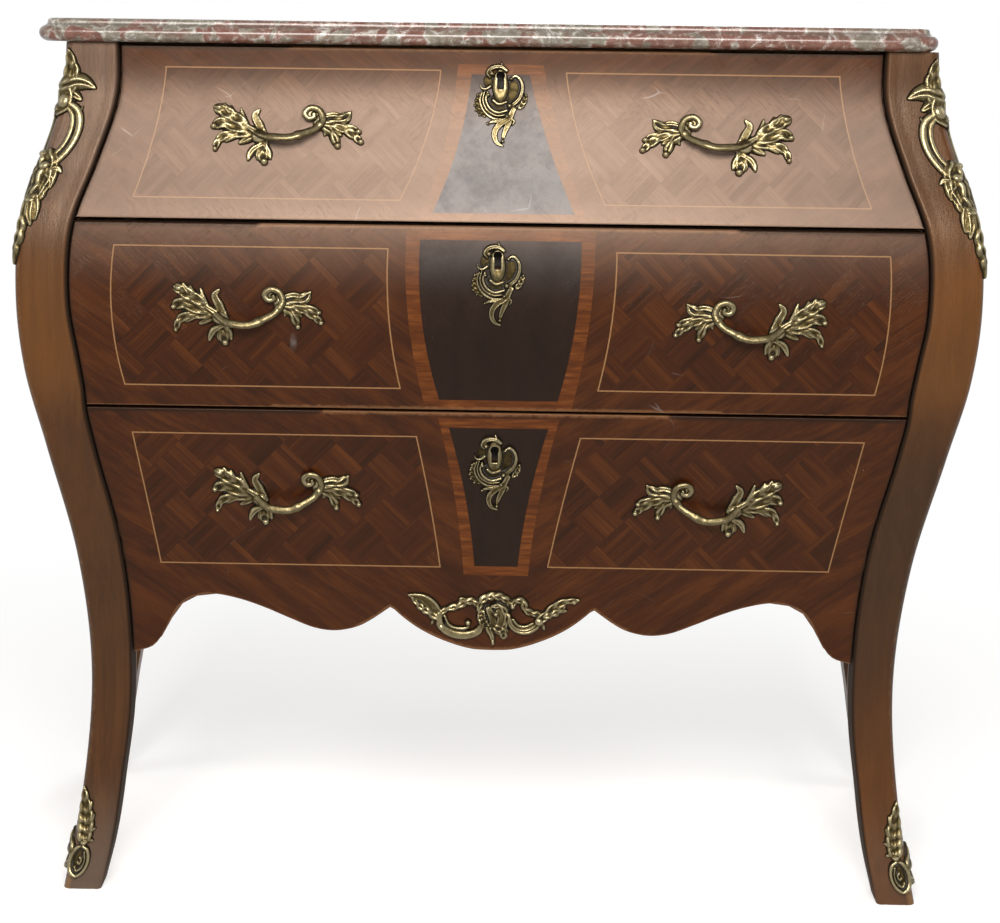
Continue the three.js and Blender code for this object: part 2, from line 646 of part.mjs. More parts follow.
// The keyhole, from before the brass back to the key's pocket in the lock.
function keyholeCut(drawer) {
  const outline = keyholeOutline().map(([x, z]) => [x, drawer.keyhole + keySlotLength / 2 + z]);
  const y0 = drawerFaceY(drawer.keyhole) - mountRise - cutOverrun;
  return toSolid(uprightBoard(outline, y0, lockFrontY(drawer) + keyPocket));
}

const lockTop = (drawer) => ceilingOf(drawer) - lockTopGap;
const lockLow = (drawer) => lockTop(drawer) - lockHeight;
const lockFrontY = (drawer) => leastOver(drawerInnerY, lockLow(drawer), lockTop(drawer)) - lockLetIn;

function boltFrontY(drawer) {
  const ceiling = ceilingOf(drawer);
  const above = drawer === topDrawer ? subTopThickness : railThickness;
  return mostOver(drawerInnerY, ceiling, ceiling + above) + seatGap + boltSetback;
}

function boltBlock(drawer, grow, low, high) {
  const y0 = boltFrontY(drawer);
  const half = boltWidth / 2 + grow;
  return board(-half, half, y0 - grow, y0 + boltThickness + grow, low, high);
}

function boltMortise(drawer) {
  const ceiling = ceilingOf(drawer);
  return toSolid(boltBlock(drawer, mortiseGap, ceiling - cutOverrun, ceiling + boltThrow + mortiseGap));
}

function lockBlock(drawer, grow) {
  const half = lockWidth / 2 + grow;
  const back = boltFrontY(drawer) + boltThickness + lockWall + grow;
  return board(-half, half, lockFrontY(drawer) - grow, back, lockLow(drawer) - grow, lockTop(drawer) + grow);
}

function lockCase(drawer) {
  const top = lockTop(drawer);
  const slot = toSolid(boltBlock(drawer, slideGap, top - boltHeight - slideGap, top + cutOverrun));
  return toGeometry(toSolid(lockBlock(drawer, 0)).subtract(slot).subtract(keyholeCut(drawer)));
}

const lockBolt = (drawer) => boltBlock(drawer, 0, lockTop(drawer) - boltHeight, lockTop(drawer));

function drawerFront(drawer) {
  const front = drawerShell(drawer);
  return toGeometry(front.subtract(toSolid(lockBlock(drawer, seatGap))).subtract(keyholeCut(drawer)));
}

function drawerSide(drawer) {
  const half = boxHalf(drawer);
  const low = boxLow(drawer);
  const scribed = spread(low, boxTop(drawer), panelSteps).map((z) => [drawerInnerY(z) + seatGap, z]);
  const outline = [...scribed, [drawerBoxBack, boxTop(drawer)], [drawerBoxBack, low]];
  const side = toSolid(sidewaysBoard(outline, half - drawerSideThickness, half));
  const groove = bottomSlab(drawer, drawerGrooveDepth, seatGap);
  return toGeometry(side.subtract(toSolid(groove)));
}

function bottomSlab(drawer, reach, grow) {
  const half = boxHalf(drawer) - drawerSideThickness + reach;
  const low = boxLow(drawer) + drawerBottomHeight;
  const high = low + drawerBottomThickness;
  const front = mostOver(drawerInnerY, low, high) + seatGap;
  return board(-half, half, front - grow, drawerBoxBack + grow * cutOverrun, low - grow, high + grow);
}

const drawerBottom = (drawer) => bottomSlab(drawer, drawerGrooveDepth - seatGap, 0);

function drawerBack(drawer) {
  const half = boxHalf(drawer) - drawerSideThickness - seatGap;
  const low = boxLow(drawer) + drawerBottomHeight + drawerBottomThickness + seatGap;
  return board(-half, half, drawerBoxBack - drawerSideThickness, drawerBoxBack, low, boxTop(drawer));
}

// Cast brass

// One stroke: a ridge along a path, widest in its belly. place turns along, up and out into a point.
function stroke({ path, root, belly, tip }, size, under, place) {
  const curve = new THREE.CatmullRomCurve3(path.map(([s, t]) => new THREE.Vector3(s * size, t * size, 0)));
  const steps = Math.round(strokeSteps * (path.length - 1) / 2);
  const rings = spread(0, 1, steps).map((share) => {
    const centre = curve.getPoint(share);
    const along = curve.getTangent(share);
    const width = size * (root * (1 - share) ** 2 + 2 * belly * share * (1 - share) + tip * share ** 2);
    const crest = mountRise * (1 - crestFallShare * share ** 2);
    const aside = (reach, out) => place(centre.x - along.y * reach, centre.y + along.x * reach, out);
    return [aside(width, under), aside(0, crest), aside(-width, under)];
  });
  return toSolid(loft(rings));
}

// A low domed boss, round or oval, that strokes grow from.
function boss([s, t, alongShare, upShare], size, rise, place) {
  const ring = (shrink, out) => spread(0, 2 * Math.PI, bossSides).slice(1).map((angle) => {
    const along = s + alongShare * shrink * Math.cos(angle);
    const up = t + (upShare ?? alongShare) * shrink * Math.sin(angle);
    return place(along * size, up * size, out);
  });
  return toSolid(loft([ring(1, seatGap), ring(bossShoulder, rise * bossShoulder), ring(bossTop, rise)]));
}

// Lays a mount on a drawer front, true to its curve; sign mirrors it.
function onDrawer(x, z, sign) {
  const slope = (swell(z + seatGap) - swell(z - seatGap)) / (2 * seatGap);
  const tilt = Math.atan(slope);
  return (along, up, out) => {
    const height = z + up * Math.cos(tilt) + out * Math.sin(-tilt);
    const y = drawerFaceY(z + up * Math.cos(tilt)) - out * Math.cos(tilt);
    return new THREE.Vector3(x + sign * along, y, height);
  };
}

function bail(place) {
  const points = bailShares.map(([s, t, h]) => (
    new THREE.Vector3(s * handleWidth, t * handleWidth, h * handleStand)));
  const curve = new THREE.CatmullRomCurve3(points);
  const rings = spread(0, 1, bailSteps).map((share) => {
    const centre = curve.getPoint(share);
    const tangent = curve.getTangent(share);
    const aside = new THREE.Vector3(-tangent.y, tangent.x, 0).normalize();
    const above = new THREE.Vector3().crossVectors(tangent, aside);
    const radius = bailRadius * (1 - bailTailShare * Math.max(0, 2 * share - 1));
    return spread(0, 2 * Math.PI, bailSides).slice(1).map((angle) => {
      const p = centre.clone().addScaledVector(aside, radius * Math.cos(angle));
      p.addScaledVector(above, radius * Math.sin(angle));
      return place(p.x, p.y, p.z);
    });
  });
  return toSolid(loft(rings));
}

const strokesOf = (shares, size, under, place) => shares.map((row) => stroke(row, size, under, place));

function handle(drawer, sign) {
  const place = onDrawer(sign * drawer.pullOut, drawer.pullHeight, -sign);
  const seats = handleSeatShares.map((row) => boss(row, handleWidth, mountRise + handleLift, place));
  return toGeometry(joined([bail(place), ...seats, ...strokesOf(handleShares, handleWidth, seatGap, place)]));
}

function escutcheon(drawer) {
  const place = onDrawer(0, drawer.keyhole, 1);
  const [oval, ground] = escutcheonPlateShares;
  const plates = [
    boss(oval, escutcheonHeight, mountRise, place),
    boss(ground, escutcheonHeight, groundRise, place),
  ];
  const casting = joined([...plates, ...strokesOf(escutcheonShares, escutcheonHeight, seatGap, place)]);
  return toGeometry(casting.subtract(keyholeCut(drawer)));
}

function apronMount() {
  const place = onDrawer(0, apronTipHeight + apronMountRise, 1);
  const middle = boss(apronBossShare, apronMountWidth, mountRise + seatGap, place);
  return toGeometry(joined([middle, ...strokesOf(apronMountShares, apronMountWidth, seatGap, place)]));
}

// Lays a mount round the ridge of the right front post. Along runs from the middle of the ridge, in over the
// front face, or back over the side where it is below zero; sign swaps the two.
function roundRidge(foot, sign) {
  const halfArc = ridgeRadius * Math.PI / 4;
  return (along, up, out) => {
    const z = foot + up;
    const reach = sign * along;
    const turn = Math.PI / 4 * (1 + THREE.MathUtils.clamp(reach / halfArc, -1, 1));
    const inward = Math.max(0, reach - halfArc);
    const backward = Math.max(0, -reach - halfArc);
    const radius = ridgeRadius + out;
    const y = postFaceY(z) + ridgeRadius - radius * Math.sin(turn) + backward;
    const flare = sideX(Math.max(y, postFaceY(z)), z) - ridgeX(z);
    const x = ridgeX(z) - ridgeRadius + radius * Math.cos(turn) - inward + flare;
    return new THREE.Vector3(x, y, z);
  };
}

function postMount(shares, returnShares, height, foot) {
  const face = strokesOf(shares, height, -mountSink, roundRidge(foot, 1));
  const side = strokesOf(returnShares, height, -mountSink, roundRidge(foot, -1));
  return toGeometry(joined([...face, ...side]).subtract(toSolid(frontPost(seatGap))));
}

function cornerMount() {
  return postMount(cornerMountShares, cornerReturnShares, cornerMountHeight, cornerMountFoot);
}

function footMount() {
  return postMount(footMountShares, footReturnShares, footMountHeight, footMountFoot);
}

// Marble top

// The plan outline, and the same outline drawn in by an inset.
function marbleRing(z, inset) {
  const front = -marbleFrontOverhang + inset;
  const back = carcaseDepth + marbleBackOverhang - inset;
  const half = marbleHalfWidth - inset;
  const side = (y) => half + sideFlare * THREE.MathUtils.smoothstep(y / carcaseDepth, 0, 1);
  const radius = marbleCorner - inset;
  const corner = quarterRound(half - radius, front + radius, radius, -Math.PI / 2, cornerSteps);
  const edge = spread(front + radius, back, sidePanelColumns).slice(1).map((y) => [side(y), y]);
  const outline = mirroredOutline([...corner, ...edge]);
  return outline.map(([x, y]) => new THREE.Vector3(x + marbleShift, y, z));
}

function marbleSlab() {
  const base = carcaseHeight + seatGap;
  const rise = marbleThickness - seatGap;
  return loft(marbleShares.map(([up, inset]) => marbleRing(base + up * rise, inset * marbleThickness)));
}

// Assembly

function addCase() {
  addPair('front_leg', frontPost(0), walnut);
  addPair('back_leg', backPost(), walnut);
  addPair('side_panel', sidePanel(), walnut);
  addPiece('sub_top', subTop(), beech);
  addPiece('upper_divider', divider(topDrawer, middleDrawer), beech);
  addPiece('lower_divider', divider(middleDrawer, bottomDrawer), beech);
  addPiece('bottom_front_rail', toGeometry(frontRail(bottomFrameLow, bottomDrawer.shelf)), beech);
  addPiece('bottom_board', bottomBoard(), beech);
  addPiece('back_panel', backPanel(), beech);
  addPiece('back_top_rail', backRail(carcaseHeight - backRailHeight, carcaseHeight), beech);
  addPiece('back_bottom_rail', backRail(bottomFrameLow, bottomFrameLow + backRailHeight), beech);
  addPiece('marble_top', marbleSlab(), marble);
  addPair('corner_mount', cornerMount(), brass);
  addPair('foot_mount', footMount(), brass);
}

function addDrawer(drawer) {
  addPair(`${drawer.name}_runner`, runner(drawer), beech);
  const named = (piece) => `${drawer.name}_drawer_${piece}`;
  addPiece(named('front'), drawerFront(drawer), kingwood);
  const side = drawerSide(drawer);
  addPiece(named('left_side'), mirrored(side), beech);
  addPiece(named('right_side'), side, beech);
  addPiece(named('bottom'), drawerBottom(drawer), beech);
  addPiece(named('back'), drawerBack(drawer), beech);
  addPiece(named('left_handle'), handle(drawer, -1), brass);
  addPiece(named('right_handle'), handle(drawer, 1), brass);
  addPiece(named('escutcheon'), escutcheon(drawer), brass);
  addPiece(named('lock_case'), lockCase(drawer), steel);
  addPiece(named('lock_bolt'), lockBolt(drawer), brass);
}

addCase();
[topDrawer, middleDrawer, bottomDrawer].forEach(addDrawer);
addPiece('apron_mount', apronMount(), brass);

// The frame's origin is the middle of the footprint, on the floor.
const extent = new THREE.Box3().setFromObject(chest);
chest.position.set(-(extent.min.x + extent.max.x) / 2, -(extent.min.y + extent.max.y) / 2, -extent.min.z);
chest.updateMatrixWorld(true);

export default chest;
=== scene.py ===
"""The looks of a bombe commode chest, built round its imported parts: veneers, marble and cast brass."""

import logging
import math
from collections.abc import Callable, Sequence
from dataclasses import dataclass
from enum import Enum

import bmesh
import bpy
import numpy as np
from mathutils import Matrix, Vector
from mathutils.geometry import delaunay_2d_cdt


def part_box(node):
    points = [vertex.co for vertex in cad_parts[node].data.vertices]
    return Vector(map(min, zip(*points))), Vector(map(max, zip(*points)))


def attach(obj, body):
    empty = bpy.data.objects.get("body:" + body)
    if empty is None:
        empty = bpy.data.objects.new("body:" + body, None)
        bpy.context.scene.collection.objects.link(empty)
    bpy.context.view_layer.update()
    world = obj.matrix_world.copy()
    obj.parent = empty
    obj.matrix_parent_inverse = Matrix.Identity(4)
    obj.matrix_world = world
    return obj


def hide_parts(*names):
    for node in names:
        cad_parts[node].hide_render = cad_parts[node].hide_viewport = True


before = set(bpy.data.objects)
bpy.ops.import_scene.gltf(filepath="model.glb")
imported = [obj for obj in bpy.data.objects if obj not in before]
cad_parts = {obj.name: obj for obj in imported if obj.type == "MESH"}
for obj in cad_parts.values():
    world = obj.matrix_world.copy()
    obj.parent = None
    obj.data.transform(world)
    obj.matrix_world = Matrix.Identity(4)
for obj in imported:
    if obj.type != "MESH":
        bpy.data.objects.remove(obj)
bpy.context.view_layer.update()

log = logging.getLogger("commode")
Rows = tuple[tuple[float, ...], ...]
Colour = tuple[float, float, float]
Place = tuple[float, float, float]
Span = tuple[float, float]
Placer = Callable[[np.ndarray, np.ndarray, np.ndarray], np.ndarray]
THOUSAND = 1000
Socket = bpy.types.NodeSocket
Sockets = bpy.types.bpy_prop_collection
Tree = bpy.types.NodeTree
Finish = bpy.types.Material


class Slot(Enum):
    """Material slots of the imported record."""

    WALNUT = "walnut_veneer"
    MARQUETRY = "drawer_marquetry"
    INNER = "inner_wood"
    BRASS = "aged_brass"
    STEEL = "lock_steel"
    LOCK_BRASS = "lock_brass"
    MARBLE = "marble"


class Hand(Enum):
    """Which side of the chest a piece belongs to."""

    LEFT = -1
    RIGHT = 1


# Curves shared by the whole case


def curve_through(rows: Rows, shares: np.ndarray) -> np.ndarray:
    """Follows a smooth curve through rows of a place and a value.

    Args:
        rows: places in rising order, each with its value.
        shares: the places to read.

    Returns:
        The value at each place; beyond the ends the end values hold.
    """
    places = np.array([row[0] for row in rows])
    values = np.array([row[1] for row in rows])
    at = np.clip(np.asarray(shares, float), places[0], places[-1])
    high = np.clip(np.searchsorted(places, at, side="right"), 1, len(places) - 1)
    low = high - 1
    before = np.where(low > 0, low - 1, high)
    after = np.where(high < len(places) - 1, np.minimum(high + 1, len(places) - 1), low)
    half = (places[high] - places[low]) / 2
    pull = half / (places[low] - places[before])
    push = half / (places[after] - places[high])
    p = (at - places[low]) / (places[high] - places[low])
    return (
        (-pull * p**3 + 2 * pull * p**2 - pull * p) * values[before]
        + ((1 + pull) * p**3 + (-1.5 - 2 * pull) * p**2 + (-0.5 + pull) * p + 1) * values[low]
        + ((-1 - push) * p**3 + (1.5 + push) * p**2 + 0.5 * p) * values[high]
        + (push * p**3 - push * p**2) * values[after]
    )


def smooth_step(share: np.ndarray) -> np.ndarray:
    """Eases a share from 0 to 1, level at both ends."""
    held = np.clip(share, 0, 1)
    return held * held * (3 - 2 * held)


def path_points(path: Rows, count: int) -> np.ndarray:
    """Samples a centripetal curve through a stroke's points.

    Args:
        path: the points, two or three numbers each.
        count: how many samples to give.

    Returns:
        An array of the samples, one row each.
    """
    given = np.array(path, float)
    ends = np.vstack([2 * given[0] - given[1], given, 2 * given[-1] - given[-2]])
    knots = np.concatenate([[0], np.cumsum(np.sqrt(np.linalg.norm(np.diff(ends, axis=0), axis=1)) + 1e-6)])
    samples = []
    for share in np.linspace(0, len(given) - 1, count):
        i = min(int(share), len(given) - 2)
        p, t = ends[i : i + 4], knots[i : i + 4]
        at = t[1] + (share - i) * (t[2] - t[1])
        a = [((t[k + 1] - at) * p[k] + (at - t[k]) * p[k + 1]) / (t[k + 1] - t[k]) for k in range(3)]
        b = [((t[k + 2] - at) * a[k] + (at - t[k]) * a[k + 1]) / (t[k + 2] - t[k]) for k in range(2)]
        samples.append(((t[2] - at) * b[0] + (at - t[1]) * b[1]) / (t[2] - t[1]))
    return np.array(samples)


@dataclass(frozen=True)
class CasePlan:
    """Sizes and curves that the posts, sides, drawers and mounts share, in metres."""

    height: float = 0.838
    ridge_half_width: float = 0.4137
    depth: float = 0.390
    side_flare: float = 0.050
    swell_depth: float = 0.044
    stile_width: float = 0.052
    reveal_half: float = 0.001
    ridge_radius: float = 0.008
    stile_radius: float = 0.005
    post_back: float = 0.050
    back_post_width: float = 0.042
    back_post_depth: float = 0.036
    panel_thickness: float = 0.018
    drawer_setback: float = 0.005
    apron_tip: float = 0.238
    apron_rise: float = 0.0614
    seat_gap: float = 0.0003
    veneer_lift: float = 0.0006
    swell_rows: Rows = (
        (0, 0.26), (0.12, -0.14), (0.26, -0.33), (0.40, -0.09), (0.54, 0.485), (0.63, 0.86),
        (0.72, 1), (0.80, 0.89), (0.87, 0.46), (0.94, 0.08), (1, 0),
    )
    stile_rows: Rows = (
        (0, 0.75), (0.045, 0.79), (0.13, 0.77), (0.20, 0.80), (0.28, 0.81), (0.37, 0.86), (0.45, 0.90),
        (0.55, 0.92), (0.58, 0.95), (0.61, 1.03), (0.65, 1.04), (0.70, 0.98), (0.77, 0.97), (0.86, 1.01),
        (0.95, 1.03), (1, 0.99),
    )
    post_back_rows: Rows = ((0, 0.58), (0.06, 0.72), (0.13, 0.86), (0.20, 0.96), (0.27, 1), (1, 1))
    back_post_rows: Rows = ((0, 0.86), (0.13, 0.82), (0.20, 0.92), (0.27, 1), (1, 1))
    flare_rows: Rows = ((0, 0.70), (0.25, 0.72), (0.45, 0.90), (0.60, 1), (1, 1))
    lobe_rows: Rows = ((0, 0.125), (0.056, 0.143), (0.134, 0.277), (0.202, 0.472), (0.246, 0.66), (0.279, 0.839))
    arch_rows: Rows = (
        (0.279, 0.839), (0.314, 0.689), (0.359, 0.52), (0.403, 0.436), (0.443, 0.412), (0.493, 0.456),
        (0.56, 0.611), (0.627, 0.782), (0.695, 0.922), (0.762, 1), (0.796, 0.993), (0.829, 0.936),
        (0.852, 0.863), (0.874, 0.739), (0.896, 0.515), (0.919, 0.269), (0.941, 0.114), (0.969, 0.04), (1, 0),
    )

    @property
    def front_line(self) -> float:
        """Where the flat line of the case front lies in the frame."""
        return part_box("back_panel")[1].y - self.depth

    def swell(self, z: np.ndarray) -> np.ndarray:
        """How far the case swells at a height."""
        return self.swell_depth * curve_through(self.swell_rows, np.asarray(z) / self.height)

    def ridge_x(self, z: np.ndarray) -> np.ndarray:
        """Half the width between the ridges of the front posts."""
        return self.ridge_half_width + self.swell(z)

    def post_y(self, z: np.ndarray) -> np.ndarray:
        """The front face of the posts."""
        return self.front_line - self.swell(z)

    def drawer_y(self, z: np.ndarray) -> np.ndarray:
        """The front face of the drawers."""
        return self.post_y(z) + self.drawer_setback

    def reveal_x(self, z: np.ndarray) -> np.ndarray:
        """The middle of the gap between post and drawers."""
        return self.ridge_x(z) - self.stile_width * curve_through(self.stile_rows, np.asarray(z) / self.height)

    def drawer_edge_x(self, z: np.ndarray) -> np.ndarray:
        """Half the width of a drawer front."""
        return self.reveal_x(z) - self.reveal_half

    def post_back_y(self, z: np.ndarray) -> np.ndarray:
        """The back face of the front posts."""
        share = np.minimum(1, curve_through(self.post_back_rows, np.asarray(z) / self.height))
        return self.front_line + self.post_back * share

    def back_post_share(self, z: np.ndarray) -> np.ndarray:
        """How far the back posts keep their full size."""
        return np.minimum(1, curve_through(self.back_post_rows, np.asarray(z) / self.height))

    def side_x(self, y: np.ndarray, z: np.ndarray) -> np.ndarray:
        """Half the width of the case at a depth and height.

        Args:
            y: depths.
            z: heights.

        Returns:
            Half widths, in metres.
        """
        reach = (y - self.post_y(z)) / (self.front_line + self.depth - self.post_y(z))
        flare = self.side_flare * np.minimum(1, curve_through(self.flare_rows, np.asarray(z) / self.height))
        return self.ridge_x(z) + flare * smooth_step(reach)

    def apron_z(self, share: np.ndarray) -> np.ndarray:
        """The scalloped lower edge, by a share of its half width.

        Args:
            share: shares, 0 at the middle.

        Returns:
            Heights, in metres.
        """
        reach = np.abs(share)
        cusp = self.arch_rows[0][0]
        rise = np.where(reach < cusp, curve_through(self.lobe_rows, reach), curve_through(self.arch_rows, reach))
        return self.apron_tip + self.apron_rise * rise


# Meshes


def cell_corners(grid: np.ndarray) -> np.ndarray:
    """The four corners of every cell of a grid, in order round it."""
    return np.stack([grid[:-1, :-1], grid[:-1, 1:], grid[1:, 1:], grid[1:, :-1]], axis=-1)


class Draft:
    """Points and faces gathered for one piece, with a tone at each point that its finish reads."""

    def __init__(self) -> None:
        """Starts with nothing in it."""
        self.points: list[np.ndarray] = []
        self.tones: list[np.ndarray] = []
        self.faces: list[tuple[int, ...]] = []
        self.count = 0

    def add_points(self, points: np.ndarray, tones: np.ndarray | float = 0.0) -> np.ndarray:
        """Adds points.

        Args:
            points: an array that ends in x, y, z.
            tones: one tone for each point, or one for all.

        Returns:
            The numbers of the points, in the shape they came in.
        """
        shape = points.shape[:-1]
        numbers = np.arange(self.count, self.count + int(np.prod(shape))).reshape(shape)
        self.points.append(points.reshape(-1, 3))
        self.tones.append(np.broadcast_to(tones, shape).reshape(-1))
        self.count += numbers.size
        return numbers

    def add_quads(self, grid: np.ndarray, flip: bool = False, around: bool = False) -> None:
        """Joins a grid of point numbers with four-sided faces.

        Args:
            grid: rows and columns of point numbers.
            flip: turns the faces over.
            around: joins the last column to the first.
        """
        if around:
            grid = np.hstack([grid, grid[:, :1]])
        corners = cell_corners(grid).reshape(-1, 4)
        self.faces.extend(map(tuple, (corners[:, ::-1] if flip else corners).tolist()))

    def add_loft(self, rings: np.ndarray, tones: np.ndarray | float = 0.0) -> None:
        """Adds a closed body through rings of points, with its ends filled.

        Args:
            rings: the rings, end to end.
            tones: each point's tone, which the finish reads as relief, wear and painted shade.
        """
        numbers = self.add_points(rings, tones)
        self.add_quads(numbers, around=True)
        self.faces.append(tuple(numbers[0][::-1].tolist()))
        self.faces.append(tuple(numbers[-1].tolist()))

    def piece(self, name: str, finish: Finish, body: str, slot: Slot, *nodes: str,
              sharp: float = 38.0, face_out: bool = True) -> bpy.types.Object:
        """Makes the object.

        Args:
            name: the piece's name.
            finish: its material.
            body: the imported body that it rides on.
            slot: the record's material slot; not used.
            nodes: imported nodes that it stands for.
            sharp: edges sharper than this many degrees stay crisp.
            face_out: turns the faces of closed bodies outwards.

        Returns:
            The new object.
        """
        mesh = bpy.data.meshes.new(name)
        mesh.from_pydata(np.vstack(self.points).tolist(), [], self.faces)
        mesh.validate()
        tone = mesh.attributes.new("tone", "FLOAT", "POINT")
        tone.data.foreach_set("value", np.concatenate(self.tones).astype(np.float32))
        if face_out:
            work = bmesh.new()
            work.from_mesh(mesh)
            bmesh.ops.recalc_face_normals(work, faces=work.faces)
            work.to_mesh(mesh)
            work.free()
        mesh.shade_smooth()
        mesh.set_sharp_from_angle(angle=math.radians(sharp))
        mesh.materials.append(finish)
        made = bpy.data.objects.new(name, mesh)
        bpy.context.scene.collection.objects.link(made)
        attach(made, body)
        if nodes:
            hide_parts(*nodes)
        log.info("%s: %d faces on %s", name, len(mesh.polygons), body)
        return made


# Shader nodes


class Graph:
    """Adds nodes to one node tree and joins them."""

    def __init__(self, tree: Tree) -> None:
        """Works on one tree."""
        self.tree = tree

    def put(self, socket: Socket, value: object) -> None:
        """Joins an output to a socket, or sets its value."""
        if isinstance(value, Socket):
            self.tree.links.new(value, socket)
        else:
            socket.default_value = value

    def add(self, kind: str, inputs: dict | None = None, **settings: object) -> bpy.types.Node:
        """Adds a node.

        Args:
            kind: the node's type.
            inputs: values or outputs for its sockets, by name or number.
            settings: its own settings.

        Returns:
            The node.
        """
        node = self.tree.nodes.new(kind)
        for key, value in settings.items():
            setattr(node, key, value)
        for key, value in (inputs or {}).items():
            self.put(node.inputs[key], value)
        return node

    def math(self, operation: str, *values: object, clamp: bool = False) -> Socket:
        """Adds a sum on numbers and gives its output."""
        return self.add("ShaderNodeMath", dict(enumerate(values)), operation=operation, use_clamp=clamp).outputs[0]

    def vector(self, operation: str, *values: object) -> Socket:
        """Adds a sum on vectors and gives its output."""
        return self.add("ShaderNodeVectorMath", dict(enumerate(values)), operation=operation).outputs[0]

    def times(self, first: object, second: object) -> Socket:
        """Multiplies two numbers."""
        return self.math("MULTIPLY", first, second)

    def plus(self, first: object, second: object) -> Socket:
        """Adds two numbers."""
        return self.math("ADD", first, second)

    def minus(self, first: object, second: object) -> Socket:
        """Takes the second number from the first."""
        return self.math("SUBTRACT", first, second)

    def mix(self, share: object, low: object, high: object) -> Socket:
        """Mixes two colours and gives the result.

        Args:
            share: how much of the second.
            low: the first colour.
            high: the second colour.

        Returns:
            The mixed colour.
        """
        node = self.add("ShaderNodeMix", data_type="RGBA")
        for number, value in ((0, share), (6, low), (7, high)):
            if number and isinstance(value, tuple) and len(value) == 3:
                value = (*value, 1.0)
            self.put(node.inputs[number], value)
        return node.outputs[2]

    def lay(self, under: object, over: object, mask: object, share: float) -> Socket:
        """Lays a colour over another by a share of a mask."""
        return self.mix(self.times(mask, share), under, over)

    def blend(self, share: object, low: object, high: object) -> Socket:
        """Mixes two numbers and gives the result."""
        return self.add("ShaderNodeMix", {0: share, 2: low, 3: high}, data_type="FLOAT").outputs[0]

    def ramp(self, share: object, stops: Sequence[tuple[float, Colour]]) -> Socket:
        """Turns a share into a colour through stops.

        Args:
            share: where to look.
            stops: places and their colours.

        Returns:
            The colour.
        """
        node = self.add("ShaderNodeValToRGB", {0: share})
        band = node.color_ramp.elements
        while len(band) < len(stops):
            band.new(0.5)
        for element, (place, colour) in zip(band, stops):
            element.position = place
            element.color = (*colour, 1.0)
        return node.outputs[0]

    def noise(self, vector: object, scale: object, detail: float = 2.0, rough: float = 0.5,
              warp: float = 0.0) -> Socket:
        """Adds noise and gives its height."""
        return self.add("ShaderNodeTexNoise", {"Vector": vector, "Scale": scale, "Detail": detail,
                                               "Roughness": rough, "Distortion": warp}).outputs[0]

    def cracks(self, vector: object, scale: float) -> Socket:
        """Gives how far a point lies from the nearest edge between cells."""
        return self.add("ShaderNodeTexVoronoi", {"Vector": vector, "Scale": scale},
                        feature="DISTANCE_TO_EDGE").outputs[0]

    def step(self, value: object, low: object, high: object) -> Socket:
        """Gives a soft step from 0 at low to 1 at high.

        Args:
            value: what is looked at.
            low: where the step starts.
            high: where it ends.

        Returns:
            The step.
        """
        node = self.add("ShaderNodeMapRange", interpolation_type="SMOOTHSTEP", clamp=True)
        for number, part in enumerate((value, low, high, 0.0, 1.0)):
            self.put(node.inputs[number], part)
        return node.outputs[0]

    def parts(self, vector: object) -> Sockets:
        """Splits a vector into its three numbers."""
        return self.add("ShaderNodeSeparateXYZ", {0: vector}).outputs

    def join(self, x: object, y: object, z: object) -> Socket:
        """Makes a vector from three numbers."""
        return self.add("ShaderNodeCombineXYZ", {0: x, 1: y, 2: z}).outputs[0]


